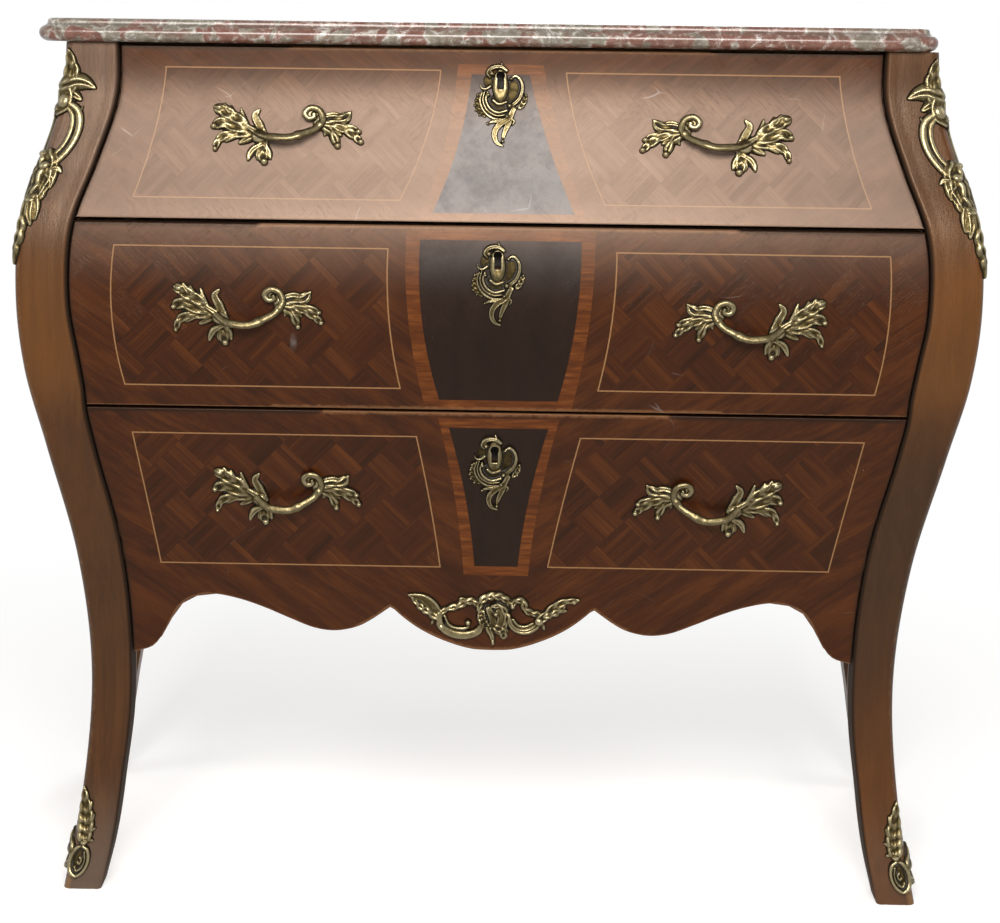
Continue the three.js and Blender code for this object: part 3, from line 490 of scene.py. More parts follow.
class Effect:
    """Shader effects that several finishes share, each a node group built once."""

    built: dict[str, Tree] = {}

    @classmethod
    def place(cls, graph: Graph, name: str, **inputs: object) -> Sockets:
        """Places an effect in a tree.

        Args:
            graph: the tree to place it in.
            name: the effect's name, which is also its method's.
            inputs: its values, with spaces in names written as underscores.

        Returns:
            The outputs of the group node.
        """
        if name not in cls.built:
            cls.built[name] = getattr(cls, name)()
        node = graph.tree.nodes.new("ShaderNodeGroup")
        node.node_tree = cls.built[name]
        for key, value in inputs.items():
            graph.put(node.inputs[key.replace("_", " ")], value)
        return node.outputs

    @staticmethod
    def open_group(name: str, inputs: dict[str, float | None],
                   outputs: dict[str, str]) -> tuple[Graph, dict[str, Socket], bpy.types.Node]:
        """Starts a group.

        Args:
            name: the group's name.
            inputs: each number's name and starting value; a vector has None.
            outputs: each output's name and short type.

        Returns:
            The graph, the group's inputs by name, and its output node.
        """
        tree = bpy.data.node_groups.new(name, "ShaderNodeTree")
        for title, start in inputs.items():
            kind = "Vector" if start is None else "Float"
            socket = tree.interface.new_socket(title, in_out="INPUT", socket_type=f"NodeSocket{kind}")
            if start is not None:
                socket.default_value = start
        for title, kind in outputs.items():
            tree.interface.new_socket(title, in_out="OUTPUT", socket_type=f"NodeSocket{kind}")
        graph = Graph(tree)
        entry = graph.add("NodeGroupInput")
        return graph, {socket.name: socket for socket in entry.outputs if socket.name}, graph.add("NodeGroupOutput")

    @classmethod
    def wood_grain(cls) -> Tree:
        """Grain that runs along the third axis: bands of tone, and fine pores."""
        g, given, out = cls.open_group("wood_grain", {"Vector": None, "Fineness": 60.0, "Stretch": 0.06},
                                       {"Tone": "Float", "Pores": "Float"})
        fine = given["Fineness"]
        along = g.times(fine, given["Stretch"])
        bands = g.vector("MULTIPLY", given["Vector"], g.join(fine, fine, along))
        swirl = g.add("ShaderNodeTexNoise", {"Vector": bands, "Scale": 0.35, "Detail": 1.0}).outputs[1]
        bent = g.vector("ADD", bands, g.vector("MULTIPLY", swirl, (1.6, 1.6, 0.8)))
        broad = g.noise(bent, 1.0, 3.0, 0.55, 0.4)
        lines = g.noise(g.vector("MULTIPLY", bent, (5.0, 5.0, 1.4)), 1.0, 3.0, 0.6)
        g.put(out.inputs["Tone"], g.step(g.blend(0.42, broad, lines), 0.28, 0.72))
        pore_vector = g.vector("MULTIPLY", given["Vector"], (2400.0, 2400.0, 110.0))
        g.put(out.inputs["Pores"], g.step(g.noise(pore_vector, 1.0, 1.0), 0.58, 0.74))
        return g.tree

    @classmethod
    def basket_weave(cls) -> Tree:
        """Blocks of strips laid at right angles on the slant, in the plane of x and z."""
        g, given, out = cls.open_group("basket_weave", {"Vector": None, "Block": 0.03, "Strips": 4.0},
                                       {"Grain": "Vector", "Tint": "Float", "Seam": "Float", "Turn": "Float"})
        x, _, z = g.parts(given["Vector"])
        u = g.math("DIVIDE", g.times(g.plus(x, z), math.sqrt(0.5)), given["Block"])
        v = g.math("DIVIDE", g.times(g.minus(z, x), math.sqrt(0.5)), given["Block"])
        i, j = g.math("FLOOR", u), g.math("FLOOR", v)
        turn = g.math("FLOORED_MODULO", g.plus(i, j), 2.0)
        across = g.times(g.blend(turn, u, v), given["Strips"])
        along = g.blend(turn, v, u)
        strip = g.math("FLOOR", across)
        tint = g.add("ShaderNodeTexWhiteNoise", {"Vector": g.join(i, j, strip)}, noise_dimensions="3D").outputs[0]
        g.put(out.inputs["Tint"], tint)
        edge = g.math("ABSOLUTE", g.minus(g.math("FRACT", across), 0.5))
        end = g.math("ABSOLUTE", g.minus(g.math("FRACT", along), 0.5))
        g.put(out.inputs["Seam"], g.math("MAXIMUM", g.step(edge, 0.43, 0.5), g.step(end, 0.485, 0.5)))
        g.put(out.inputs["Turn"], turn)
        width = g.math("DIVIDE", given["Block"], given["Strips"])
        g.put(out.inputs["Grain"], g.join(g.times(across, width), g.times(tint, 3.0),
                                          g.times(along, given["Block"])))
        return g.tree

    @classmethod
    def shaped_panel(cls) -> Tree:
        """How far a point lies inside a panel with level ends and bowed sides."""
        sides = dict.fromkeys(("Left Low", "Left High", "Left Bow", "Right Low", "Right High", "Right Bow"), 0.0)
        g, given, out = cls.open_group("shaped_panel", {"Vector": None, "Low": 0.0, "High": 1.0, **sides},
                                       {"Inset": "Float"})
        x, _, z = g.parts(given["Vector"])
        rise = g.math("DIVIDE", g.minus(z, given["Low"]), g.minus(given["High"], given["Low"]))
        arch = g.times(g.times(rise, g.minus(1.0, rise)), 4.0)

        def side_at(name: str) -> Socket:
            """Where one bowed side lies at this height."""
            line = g.blend(rise, given[f"{name} Low"], given[f"{name} High"])
            return g.plus(line, g.times(arch, given[f"{name} Bow"]))

        left = g.minus(x, side_at("Left"))
        right = g.minus(side_at("Right"), x)
        sideways = g.math("MINIMUM", left, right)
        upright = g.math("MINIMUM", g.minus(z, given["Low"]), g.minus(given["High"], z))
        g.put(out.inputs["Inset"], g.math("MINIMUM", sideways, upright))
        return g.tree

    @classmethod
    def edge_wear(cls) -> Tree:
        """Rubbed places: where the piece's tone is high, broken up by noise."""
        g, given, out = cls.open_group("edge_wear", {"Tone": 0.0, "Vector": None, "Amount": 1.0}, {"Mask": "Float"})
        broken = g.noise(given["Vector"], 160.0, 4.0, 0.65)
        worn = g.times(given["Tone"], g.blend(0.75, 1.0, g.times(broken, 1.8)))
        g.put(out.inputs["Mask"], g.times(g.step(worn, 0.35, 0.85), given["Amount"]))
        return g.tree

    @classmethod
    def dust(cls) -> Tree:
        """Thin dust, in clouds and specks, on faces that look up."""
        g, given, out = cls.open_group("dust", {"Vector": None, "Amount": 1.0}, {"Mask": "Float"})
        up = g.parts(g.add("ShaderNodeNewGeometry").outputs["Normal"])[2]
        cloud = g.noise(given["Vector"], 26.0, 5.0, 0.7)
        speck = g.step(g.noise(given["Vector"], 700.0, 2.0), 0.62, 0.75)
        laid = g.times(g.step(up, 0.35, 0.95), g.plus(cloud, g.times(speck, 0.5)))
        g.put(out.inputs["Mask"], g.math("MULTIPLY", laid, given["Amount"], clamp=True))
        return g.tree

    @classmethod
    def scratches(cls) -> Tree:
        """A few long hair scratches, curved, in the plane of x and z."""
        g, given, out = cls.open_group("scratches", {"Vector": None}, {"Mask": "Float"})
        bend = g.add("ShaderNodeTexNoise", {"Vector": given["Vector"], "Scale": 6.0, "Detail": 1.0}).outputs[1]
        warped = g.vector("ADD", given["Vector"], g.vector("MULTIPLY", bend, (0.16, 0.0, 0.16)))
        edge = g.cracks(warped, 9.0)
        thin = g.minus(1.0, g.step(edge, 0.0015, 0.006))
        some = g.times(g.step(g.noise(given["Vector"], 14.0, 2.0), 0.58, 0.68),
                      g.step(g.noise(given["Vector"], 38.0, 2.0), 0.46, 0.58))
        g.put(out.inputs["Mask"], g.times(thin, some))
        return g.tree


class Material:
    """A material with its graph, its object coordinates and its shader at hand."""

    def __init__(self, name: str) -> None:
        """Starts an empty node material.

        Args:
            name: the material's name.
        """
        self.made = bpy.data.materials.new(name)
        self.made.use_nodes = True
        self.graph = Graph(self.made.node_tree)
        self.shader = self.made.node_tree.nodes["Principled BSDF"]
        self.place = self.graph.add("ShaderNodeTexCoord").outputs["Object"]
        self.tone = self.graph.add("ShaderNodeAttribute", attribute_name="tone").outputs["Fac"]

    def dress(self, **sockets: object) -> None:
        """Sets or feeds the shader's own sockets, with spaces in names written as underscores."""
        for key, value in sockets.items():
            self.graph.put(self.shader.inputs[key.replace("_", " ")], value)

    def bump(self, height: object, distance: float, strength: float = 1.0) -> None:
        """Feeds a height to the shader's normal."""
        node = self.graph.add("ShaderNodeBump", {"Height": height, "Distance": distance, "Strength": strength})
        self.dress(Normal=node.outputs[0])


# Finishes


@dataclass(frozen=True)
class WalnutVeneer:
    """Waxed walnut on the posts: grain up the leg, the ridge rubbed lighter, with painted shade by height and at the
    reveals, and a painted sheen at the top of the left leg.
    """

    deep: Colour = (0.030, 0.0105, 0.0028)
    middle: Colour = (0.047, 0.0158, 0.0038)
    light: Colour = (0.068, 0.0250, 0.0058)
    amber: Colour = (0.098, 0.0310, 0.0048)
    # Dark colour for the painted shade on the legs.
    grime_and_shade: Colour = (0.010, 0.0045, 0.0024)
    rubbed: Colour = (0.22, 0.115, 0.043)
    floor_dust: Colour = (0.115, 0.090, 0.072)
    honey: Colour = (0.120, 0.046, 0.0105)
    # Pale colour for the painted sheen at the top of the left leg.
    painted_sheen: Colour = (0.36, 0.32, 0.29)
    dust: Colour = (0.32, 0.30, 0.27)
    gloss_tint: Colour = (1.0, 0.74, 0.54)
    belly_start: Span = (0.47, 0.53)
    belly_end: Span = (0.68, 0.60)
    knee_top: Span = (0.54, 0.44)
    knee_foot: Span = (0.02, 0.32)
    shoulder_start: Span = (0.62, 0.74)
    settled_top: Span = (0.125, 0.01)
    painted_shade_tones: Span = (-0.1, -0.9)
    groove: Span = (-0.1, -0.7)

    def build(self, name: str = "walnut_veneer") -> Finish:
        """Makes the material.

        Args:
            name: its name.

        Returns:
            The material.
        """
        m = Material(name)
        g = m.graph
        tone, pores = Effect.place(g, "wood_grain", Vector=m.place, Fineness=75.0, Stretch=0.05)
        colour = g.ramp(tone, [(0.0, self.deep), (0.45, self.middle), (1.0, self.light)])
        drift = g.step(g.noise(g.vector("MULTIPLY", m.place, (7.0, 7.0, 3.5)), 1.0, 3.0, 0.6), 0.42, 0.66)
        colour = g.lay(colour, self.amber, drift, 0.75)
        colour = g.lay(colour, self.deep, pores, 0.35)
        x, _, height = g.parts(m.place)
        right_side = g.step(x, -0.1, 0.1)
        belly = g.times(g.step(height, *self.belly_start), g.step(height, *self.belly_end))
        colour = g.lay(colour, self.honey, belly, 0.35)
        # Painted shade: darker about the middle of each leg's height, more on the right leg.
        knee_shade = g.times(g.step(height, *self.knee_top), g.step(height, *self.knee_foot))
        colour = g.mix(g.times(knee_shade, g.blend(right_side, 0.34, 0.66)), colour, self.grime_and_shade)
        # Painted shade at the top of the right leg, and a painted sheen, a pale film, at the top of the left leg.
        shoulder = g.step(height, *self.shoulder_start)
        colour = g.mix(g.times(shoulder, g.blend(right_side, 0.0, 0.26)), colour, self.grime_and_shade)
        colour = g.mix(g.times(shoulder, g.blend(right_side, 0.10, 0.0)), colour, self.painted_sheen)
        settled = g.times(g.step(height, *self.settled_top), g.blend(right_side, 0.62, 0.20))
        settled = g.times(settled, g.blend(g.noise(m.place, 26.0, 5.0, 0.7), 0.6, 1.3))
        colour = g.mix(settled, colour, self.floor_dust)
        # Painted shade where the tone is negative: at the reveal beside the drawers and along the side behind the
        # ridge.
        colour = g.mix(g.step(m.tone, *self.painted_shade_tones), colour, self.grime_and_shade)
        worn = Effect.place(g, "edge_wear", Tone=m.tone, Vector=m.place, Amount=0.55)[0]
        colour = g.mix(worn, colour, self.rubbed)
        grey = Effect.place(g, "dust", Vector=m.place, Amount=0.25)[0]
        colour = g.mix(grey, colour, self.dust)
        groove = g.step(m.tone, *self.groove)
        m.dress(Base_Color=colour, Roughness=g.blend(groove, g.blend(g.noise(m.place, 30.0, 3.0), 0.31, 0.41), 0.95),
                Specular_IOR_Level=0.34, Specular_Tint=(*self.gloss_tint, 1.0))
        m.bump(g.minus(tone, g.times(pores, 0.7)), 0.00012)
        return m.made


@dataclass(frozen=True)
class InnerWood:
    """Plain planed wood inside the case, dry and a little dusty."""

    dark: Colour = (0.17, 0.085, 0.035)
    light: Colour = (0.42, 0.26, 0.125)
    pore: Colour = (0.10, 0.05, 0.02)
    along: str = "z"

    def build(self, name: str = "inner_wood") -> Finish:
        """Makes the material.

        Args:
            name: its name.

        Returns:
            The material.
        """
        m = Material(name)
        g = m.graph
        x, y, z = g.parts(m.place)
        turned = {"x": g.join(z, y, x), "y": g.join(x, z, y), "z": m.place}[self.along]
        tone, pores = Effect.place(g, "wood_grain", Vector=turned, Fineness=38.0, Stretch=0.05)
        colour = g.ramp(tone, [(0.0, self.dark), (1.0, self.light)])
        colour = g.lay(colour, self.pore, pores, 0.35)
        stain = g.step(g.noise(m.place, 7.0, 5.0, 0.7), 0.5, 0.8)
        colour = g.lay(colour, self.dark, stain, 0.35)
        m.dress(Base_Color=colour, Roughness=g.blend(pores, 0.62, 0.8), Specular_IOR_Level=0.3)
        m.bump(g.minus(tone, pores), 0.0002)
        return m.made


@dataclass(frozen=True)
class PanelLines:
    """One panel of a drawer front: its ends, and where its sides start, finish and how they bow."""

    low: float
    high: float
    left_low: float
    left_high: float
    left_bow: float
    right_low: float
    right_high: float
    right_bow: float

    def inset(self, graph: Graph, place: object, grow: float = 0.0, lift: float = 0.0) -> Socket:
        """How far a point lies inside the panel, grown sideways and lifted at both ends."""
        return Effect.place(
            graph, "shaped_panel", Vector=place, Low=self.low - lift, High=self.high + lift,
            Left_Low=self.left_low - grow, Left_High=self.left_high - grow, Left_Bow=self.left_bow,
            Right_Low=self.right_low + grow, Right_High=self.right_high + grow, Right_Bow=self.right_bow)[0]


@dataclass(frozen=True)
class Marquetry:
    """A drawer's veneers: kingwood ground, woven panels in a light line, and a dark shaped field, with a painted
    sheen over them and painted shade at the edges.
    """

    left: PanelLines
    right: PanelLines
    field: PanelLines
    band: float = 0.013
    band_lift: float = 0.0095
    line: float = 0.0013
    block: float = 0.036
    strips: float = 6.0
    deep: Colour = (0.0095, 0.0023, 0.0008)
    middle: Colour = (0.0295, 0.0069, 0.0016)
    light: Colour = (0.072, 0.0205, 0.0042)
    ground: Colour = (0.033, 0.0080, 0.0018)
    # Dark colour for the painted shade at the face's top and side edges.
    grime_and_shade: Colour = (0.008, 0.0030, 0.0015)
    tulip: Colour = (0.078, 0.0200, 0.0034)
    pale_tulip: Colour = (0.135, 0.042, 0.0090)
    ebony: Colour = (0.0080, 0.0038, 0.0032)
    deep_ebony: Colour = (0.0028, 0.0013, 0.0011)
    box: Colour = (0.20, 0.105, 0.045)
    chipped: Colour = (0.45, 0.33, 0.22)
    rubbed: Colour = (0.16, 0.075, 0.032)
    scratched: Colour = (0.66, 0.62, 0.58)
    # Painted sheen: how much there is, the heights where it is full and where it is gone, and how it weakens across.
    painted_sheen_amount: float = 0.0
    painted_sheen_full: float = 0.752
    painted_sheen_none: float = 0.835
    painted_sheen_middle: float = 1.06
    painted_sheen_fall: float = 0.95
    crisp: float = 0.00012
    # Colours of the painted sheen: warm over the veneers, cool grey over the dark field, each with a dimmer shade.
    painted_sheen: Colour = (0.42, 0.312, 0.245)
    dim_painted_sheen: Colour = (0.345, 0.250, 0.194)
    cool_painted_sheen: Colour = (0.315, 0.316, 0.322)
    dim_cool_painted_sheen: Colour = (0.205, 0.212, 0.224)
    gloss_tint: Colour = (1.0, 0.70, 0.52)

    def build(self, name: str) -> Finish:
        """Makes the material.

        Args:
            name: its name.

        Returns:
            The material.
        """
        m = Material(name)
        g = m.graph
        x, y, z = g.parts(m.place)
        weave = Effect.place(g, "basket_weave", Vector=m.place, Block=self.block, Strips=self.strips)
        tone, pores = Effect.place(g, "wood_grain", Vector=weave["Grain"], Fineness=150.0, Stretch=0.05)
        cloud = g.noise(m.place, 9.0, 3.0, 0.6)
        mixed = g.plus(g.times(tone, 0.40),
                       g.plus(g.times(weave["Tint"], 0.25), g.times(cloud, 0.44)))
        mixed = g.plus(mixed, g.times(weave["Turn"], -0.11))
        woven = g.ramp(mixed, [(0.14, self.deep), (0.5, self.middle), (0.92, self.light)])
        woven = g.mix(g.times(weave["Seam"], 0.34), woven, self.deep)
        slant = g.times(g.math("ABSOLUTE", x), 0.55)
        leaning = g.join(g.minus(g.times(z, 0.8), slant), y,
                         g.plus(g.times(z, 0.6), g.math("ABSOLUTE", x)))
        ground_tone = Effect.place(g, "wood_grain", Vector=leaning, Fineness=70.0, Stretch=0.09)["Tone"]
        plain = g.ramp(g.blend(0.4, ground_tone, cloud),
                       [(0.1, self.deep), (0.5, self.ground), (1.0, self.light)])
        band_tone = Effect.place(g, "wood_grain", Vector=g.join(z, y, x), Fineness=210.0, Stretch=0.12)["Tone"]
        banding = g.ramp(band_tone, [(0.0, self.middle), (0.55, self.tulip), (1.0, self.pale_tulip)])
        dark_tone = g.noise(g.vector("MULTIPLY", m.place, (60.0, 60.0, 16.0)), 1.0, 5.0, 0.7, 0.5)
        dark = g.ramp(dark_tone, [(0.3, self.deep_ebony), (0.75, self.ebony)])

        def inside(inset: object, rim: float = 0.0) -> Socket:
            """A crisp mask of what lies further in than the rim."""
            return g.step(inset, rim - self.crisp, rim + self.crisp)

        colour = plain
        line = 0.0
        panels = 0.0
        for panel in (self.left, self.right):
            inset = panel.inset(g, m.place)
            colour = g.mix(inside(inset, -self.line), colour, self.box)
            colour = g.mix(inside(inset), colour, woven)
            panels = g.plus(panels, inside(inset))
            line = g.plus(line, g.minus(inside(inset, -self.line), inside(inset)))
        colour = g.mix(inside(self.field.inset(g, m.place, self.band, self.band_lift)), colour, banding)
        field_inset = self.field.inset(g, m.place)
        colour = g.mix(inside(field_inset), colour, dark)
        joint = g.minus(1.0, g.step(g.math("ABSOLUTE", field_inset), 0.0001, 0.0005))
        colour = g.lay(colour, self.deep, joint, 0.6)
        hair = Effect.place(g, "scratches", Vector=m.place)[0]
        chip = g.step(g.noise(m.place, 420.0, 2.0), 0.80, 0.83)
        colour = g.lay(colour, self.chipped, chip, 0.5)
        worn = Effect.place(g, "edge_wear", Tone=m.tone, Vector=m.place, Amount=0.6)[0]
        colour = g.mix(worn, colour, self.rubbed)
        # Painted sheen: a pale film that stands in for a reflection of the light, full and gone at the heights each
        # drawer sets and weaker towards the sides; over the dark field it is cool grey. Scratches show more where it
        # lies.
        sheen_mask = g.times(g.step(z, self.painted_sheen_none, self.painted_sheen_full), self.painted_sheen_amount)
        sheen_mask = g.times(sheen_mask, g.blend(cloud, 0.82, 1.12))
        middling = g.minus(self.painted_sheen_middle, g.times(g.math("ABSOLUTE", x), self.painted_sheen_fall))
        sheen_mask = g.times(sheen_mask, g.math("MINIMUM", middling, 1.0))
        even = g.plus(0.45, g.times(ground_tone, 0.18))
        painted_sheen = g.ramp(g.blend(panels, even, mixed), [(0.22, self.dim_painted_sheen), (0.72, self.painted_sheen)])
        painted_sheen = g.mix(g.times(g.times(weave["Seam"], panels), 0.30), painted_sheen, self.dim_painted_sheen)
        blotch = g.step(g.noise(m.place, 34.0, 5.0, 0.7), 0.36, 0.64)
        cool = g.mix(blotch, self.dim_cool_painted_sheen, self.cool_painted_sheen)
        colour = g.mix(sheen_mask, colour, g.mix(inside(field_inset), painted_sheen, cool))
        colour = g.lay(colour, self.scratched, hair, 0.05 + 0.3 * self.painted_sheen_amount)
        # Painted shade: where the tone is negative, along the top and side edges of the face, the colour goes dark.
        colour = g.mix(g.step(m.tone, -0.1, -0.9), colour, self.grime_and_shade)
        rough = g.blend(g.noise(m.place, 22.0, 4.0, 0.6), 0.31, 0.37)
        m.dress(Base_Color=colour, Roughness=g.plus(rough, g.times(hair, 0.1)),
                Specular_IOR_Level=0.23, Specular_Tint=(*self.gloss_tint, 1.0))
        relief = g.plus(g.times(g.minus(tone, weave["Seam"]), 0.5),
                        g.minus(line, pores))
        m.bump(relief, 0.00006)
        return m.made


@dataclass(frozen=True)
class AgedBrass:
    """Cast and chased brass: pale high spots, brown in the hollows, and painted shade on the low and outer mounts.
    """

    hollow: Colour = (0.011, 0.0072, 0.0028)
    flank: Colour = (0.080, 0.059, 0.0240)
    crest: Colour = (0.315, 0.264, 0.153)
    verdigris: Colour = (0.10, 0.105, 0.05)
    # Painted shade: the heights and the widths out from the middle where mounts are laid darker.
    shade_down: Span = (0.76, 0.60)
    shade_out: Span = (0.30, 0.37)

    def build(self, name: str = "aged_brass") -> Finish:
        """Makes the material.

        Args:
            name: its name.

        Returns:
            The material.
        """
        m = Material(name)
        g = m.graph
        grime_and_shade = g.noise(m.place, 230.0, 4.0, 0.65)
        level = g.plus(m.tone, g.times(g.minus(grime_and_shade, 0.5), 0.55))
        colour = g.ramp(level, [(0.20, self.hollow), (0.52, self.flank), (0.95, self.crest)])
        green = g.step(g.noise(m.place, 90.0, 3.0, 0.6), 0.62, 0.8)
        colour = g.lay(colour, self.verdigris, green, 0.22)
        x, _, z = g.parts(m.place)
        # Painted shade: mounts low on the chest and out on the posts are laid darker.
        dull = g.math("MAXIMUM", g.step(z, *self.shade_down), g.step(g.math("ABSOLUTE", x), *self.shade_out))
        colour = g.lay(colour, self.hollow, dull, 0.24)
        m.dress(Base_Color=colour, Metallic=g.step(level, -0.1, 0.3),
                Roughness=g.blend(g.step(level, 0.1, 0.8), 0.58, 0.28))
        cast = g.plus(g.noise(m.place, 520.0, 3.0, 0.6), g.times(grime_and_shade, 0.6))
        m.bump(cast, 0.0004, 0.6)
        return m.made


@dataclass(frozen=True)
class PlainMetal:
    """Lock metal: dull, brushed along one way and a little tarnished."""

    base: Colour
    dull: Colour
    rough: float = 0.45

    def build(self, name: str) -> Finish:
        """Makes the material.

        Args:
            name: its name.

        Returns:
            The material.
        """
        m = Material(name)
        g = m.graph
        brushed = g.noise(g.vector("MULTIPLY", m.place, (60.0, 2000.0, 2600.0)), 1.0, 2.0)
        spots = g.step(g.noise(m.place, 120.0, 5.0, 0.7), 0.45, 0.7)
        colour = g.mix(g.times(spots, 0.7), g.mix(brushed, self.dull, self.base), self.dull)
        m.dress(Base_Color=colour, Metallic=1.0, Roughness=g.blend(spots, self.rough, self.rough + 0.25))
        m.bump(brushed, 0.00008)
        return m.made


@dataclass(frozen=True)
class Breccia:
    """Polished marble of red-brown, grey-green and white patches with white veins."""

    red: Colour = (0.192, 0.083, 0.056)
    dark_red: Colour = (0.075, 0.031, 0.022)
    green: Colour = (0.205, 0.178, 0.136)
    dark_green: Colour = (0.078, 0.065, 0.048)
    white: Colour = (0.52, 0.505, 0.475)
    patches: float = 62.0
    threads: float = 190.0
    patch_bend: float = 0.034

    def build(self, name: str = "breccia_marble") -> Finish:
        """Makes the material.

        Args:
            name: its name.

        Returns:
            The material.
        """
        m = Material(name)
        g = m.graph
        drift = g.add("ShaderNodeTexNoise", {"Vector": m.place, "Scale": 30.0, "Detail": 5.0}).outputs[1]
        bent = g.vector("ADD", m.place, g.vector("MULTIPLY", drift, (self.patch_bend,) * 3))
        cell = g.add("ShaderNodeTexVoronoi", {"Vector": bent, "Scale": self.patches})
        which = g.parts(cell.outputs["Color"])[0]
        tone = g.noise(bent, 120.0, 6.0, 0.74)
        zone = g.noise(g.vector("MULTIPLY", m.place, (7.0, 11.0, 11.0)), 1.0, 2.0)
        reds = g.ramp(tone, [(0.28, self.dark_red), (0.72, self.red)])
        greens = g.ramp(tone, [(0.28, self.dark_green), (0.72, self.green)])
        picked = g.plus(g.times(which, 0.34),
                        g.plus(g.times(tone, 0.40), g.times(zone, 0.62)))
        colour = g.mix(g.step(picked, 0.62, 0.76), reds, greens)
        pale = g.step(g.noise(bent, 44.0, 6.0, 0.76), 0.55, 0.70)
        colour = g.lay(colour, self.white, pale, 0.85)
        edge = g.cracks(bent, self.patches)
        vein = g.times(g.minus(1.0, g.step(edge, 0.0, 0.13)), g.step(tone, 0.44, 0.66))
        colour = g.lay(colour, self.white, vein, 0.62)
        fine = g.cracks(bent, self.threads)
        thread = g.times(g.minus(1.0, g.step(fine, 0.0, 0.10)), g.step(tone, 0.5, 0.7))
        colour = g.lay(colour, self.white, thread, 0.35)
        # Darker along the groove above the nose of the edge.
        darker_groove = g.times(g.step(m.tone, 0.2, 0.95), g.blend(tone, 0.2, 0.8))
        m.dress(Base_Color=g.mix(darker_groove, colour, self.dark_green), Roughness=g.blend(tone, 0.17, 0.28),
                Specular_IOR_Level=0.42)
        m.bump(g.minus(tone, vein), 0.00005)
        return m.made


# The case


@dataclass
class Posts:
    """The four legs: each runs from the floor to the marble."""

    plan: CasePlan
    finish: Finish
    levels: int = 170
    arc_steps: int = 9
    face_steps: int = 7
    side_steps: int = 7
    back_steps: int = 5
    inner_steps: int = 3
    hollow: float = 0.0012
    wear_and_shade: float = 0.6
    foot_rub: float = 0.5
    foot_reach: float = 0.03
    ease: float = 0.0015
    ease_share: float = 0.3

    def front_section(self, z: float) -> tuple[np.ndarray, np.ndarray]:
        """Gives a front leg's outline at a height.

        Args:
            z: the height.

        Returns:
            The points of the outline, and each point's tone: positive for wear, negative for painted shade.
        """
        plan = self.plan
        ridge, face = float(plan.ridge_x(z)), float(plan.post_y(z))
        inner, back = float(plan.reveal_x(z)) + plan.reveal_half, float(plan.post_back_y(z))
        turn = np.linspace(0, math.pi / 2, self.arc_steps)
        r, s = plan.stile_radius, plan.ridge_radius
        inner_arc = np.stack([inner + r - r * np.cos(turn), face + r - r * np.sin(turn)], axis=1)
        ridge_arc = np.stack([ridge - s + s * np.sin(turn), face + s - s * np.cos(turn)], axis=1)
        across = np.linspace(inner_arc[-1], ridge_arc[0], self.face_steps + 2)[1:-1]
        dome = self.hollow * np.sin(np.pi * (across[:, 0] - inner) / (ridge - inner))
        across[:, 1] += self.hollow - dome
        y_side = np.linspace(ridge_arc[-1][1], back, self.side_steps + 1)[1:]
        side = np.column_stack([plan.side_x(y_side, np.full(self.side_steps, z)), y_side])
        behind = np.linspace([side[-1][0], back], [inner, back], self.back_steps + 1)[1:]
        along = np.linspace([inner, back], inner_arc[0], self.inner_steps + 2)[1:-1]
        outline = np.vstack([inner_arc, across, ridge_arc, side, behind, along])
        # Tones: wear on the middle of the ridge and at the foot; painted shade on the inner arc and inner side at
        # the reveal, on the outer part of the ridge arc and along the side behind it.
        ridge_wear_and_shade = self.wear_and_shade * np.maximum(0, np.sin(2 * turn)) ** 0.7 - self.wear_and_shade * np.sin(turn) ** 4
        painted_side_shade = -self.wear_and_shade * np.linspace(1, 0, self.side_steps + 1)[1:] ** 1.5
        rubbed = np.concatenate([-np.cos(turn) ** 1.5, np.zeros(self.face_steps), ridge_wear_and_shade, painted_side_shade,
                                 np.zeros(self.back_steps), -np.ones(self.inner_steps)])
        return outline, rubbed + self.foot_rub * math.exp(-z / self.foot_reach)

    def front(self, hand: Hand) -> None:
        """Builds one front leg.

        Args:
            hand: which leg.
        """
        heights = np.linspace(0, self.plan.height, self.levels)
        rows = [self.front_section(z) for z in heights]
        rings = np.stack([np.column_stack([hand.value * p[:, 0], p[:, 1], np.full(len(p), z)])
                          for (p, _), z in zip(rows, heights)])
        draft = Draft()
        draft.add_loft(rings, np.stack([wear_and_shade for _, wear_and_shade in rows]))
        side = hand.name.lower()
        draft.piece(f"{side}_front_post", self.finish, "carcase", Slot.WALNUT, f"{side}_front_leg", sharp=50)

    def back(self, hand: Hand) -> None:
        """Builds one back leg, square with eased corners.

        Args:
            hand: which leg.
        """
        plan = self.plan
        draft = Draft()
        rings = []
        for z in np.linspace(0, plan.height, self.levels // 2):
            full = float(plan.back_post_share(z))
            back = plan.front_line + plan.depth
            front = back - plan.back_post_depth * full
            outer = float(plan.side_x(np.array(back), z))
            inner = outer - plan.back_post_width * full
            outer_front = float(plan.side_x(np.array(front), z))
            corners = np.array([[outer_front, front], [outer, back], [inner, back], [inner, front]])
            ring = []
            for k in range(4):
                here, last, following = corners[k], corners[k - 1], corners[(k + 1) % 4]
                nearer = self.ease_share
                for other, share in ((last, 1), (last, nearer), (following, nearer), (following, 1)):
                    way = other - here
                    ring.append(here + way / np.linalg.norm(way) * (self.ease * share))
            rings.append([[hand.value * p[0], p[1], z] for p in ring])
        draft.add_loft(np.array(rings))
        side = hand.name.lower()
        draft.piece(f"{side}_back_post", self.finish, "carcase", Slot.WALNUT, f"{side}_back_leg", sharp=60)


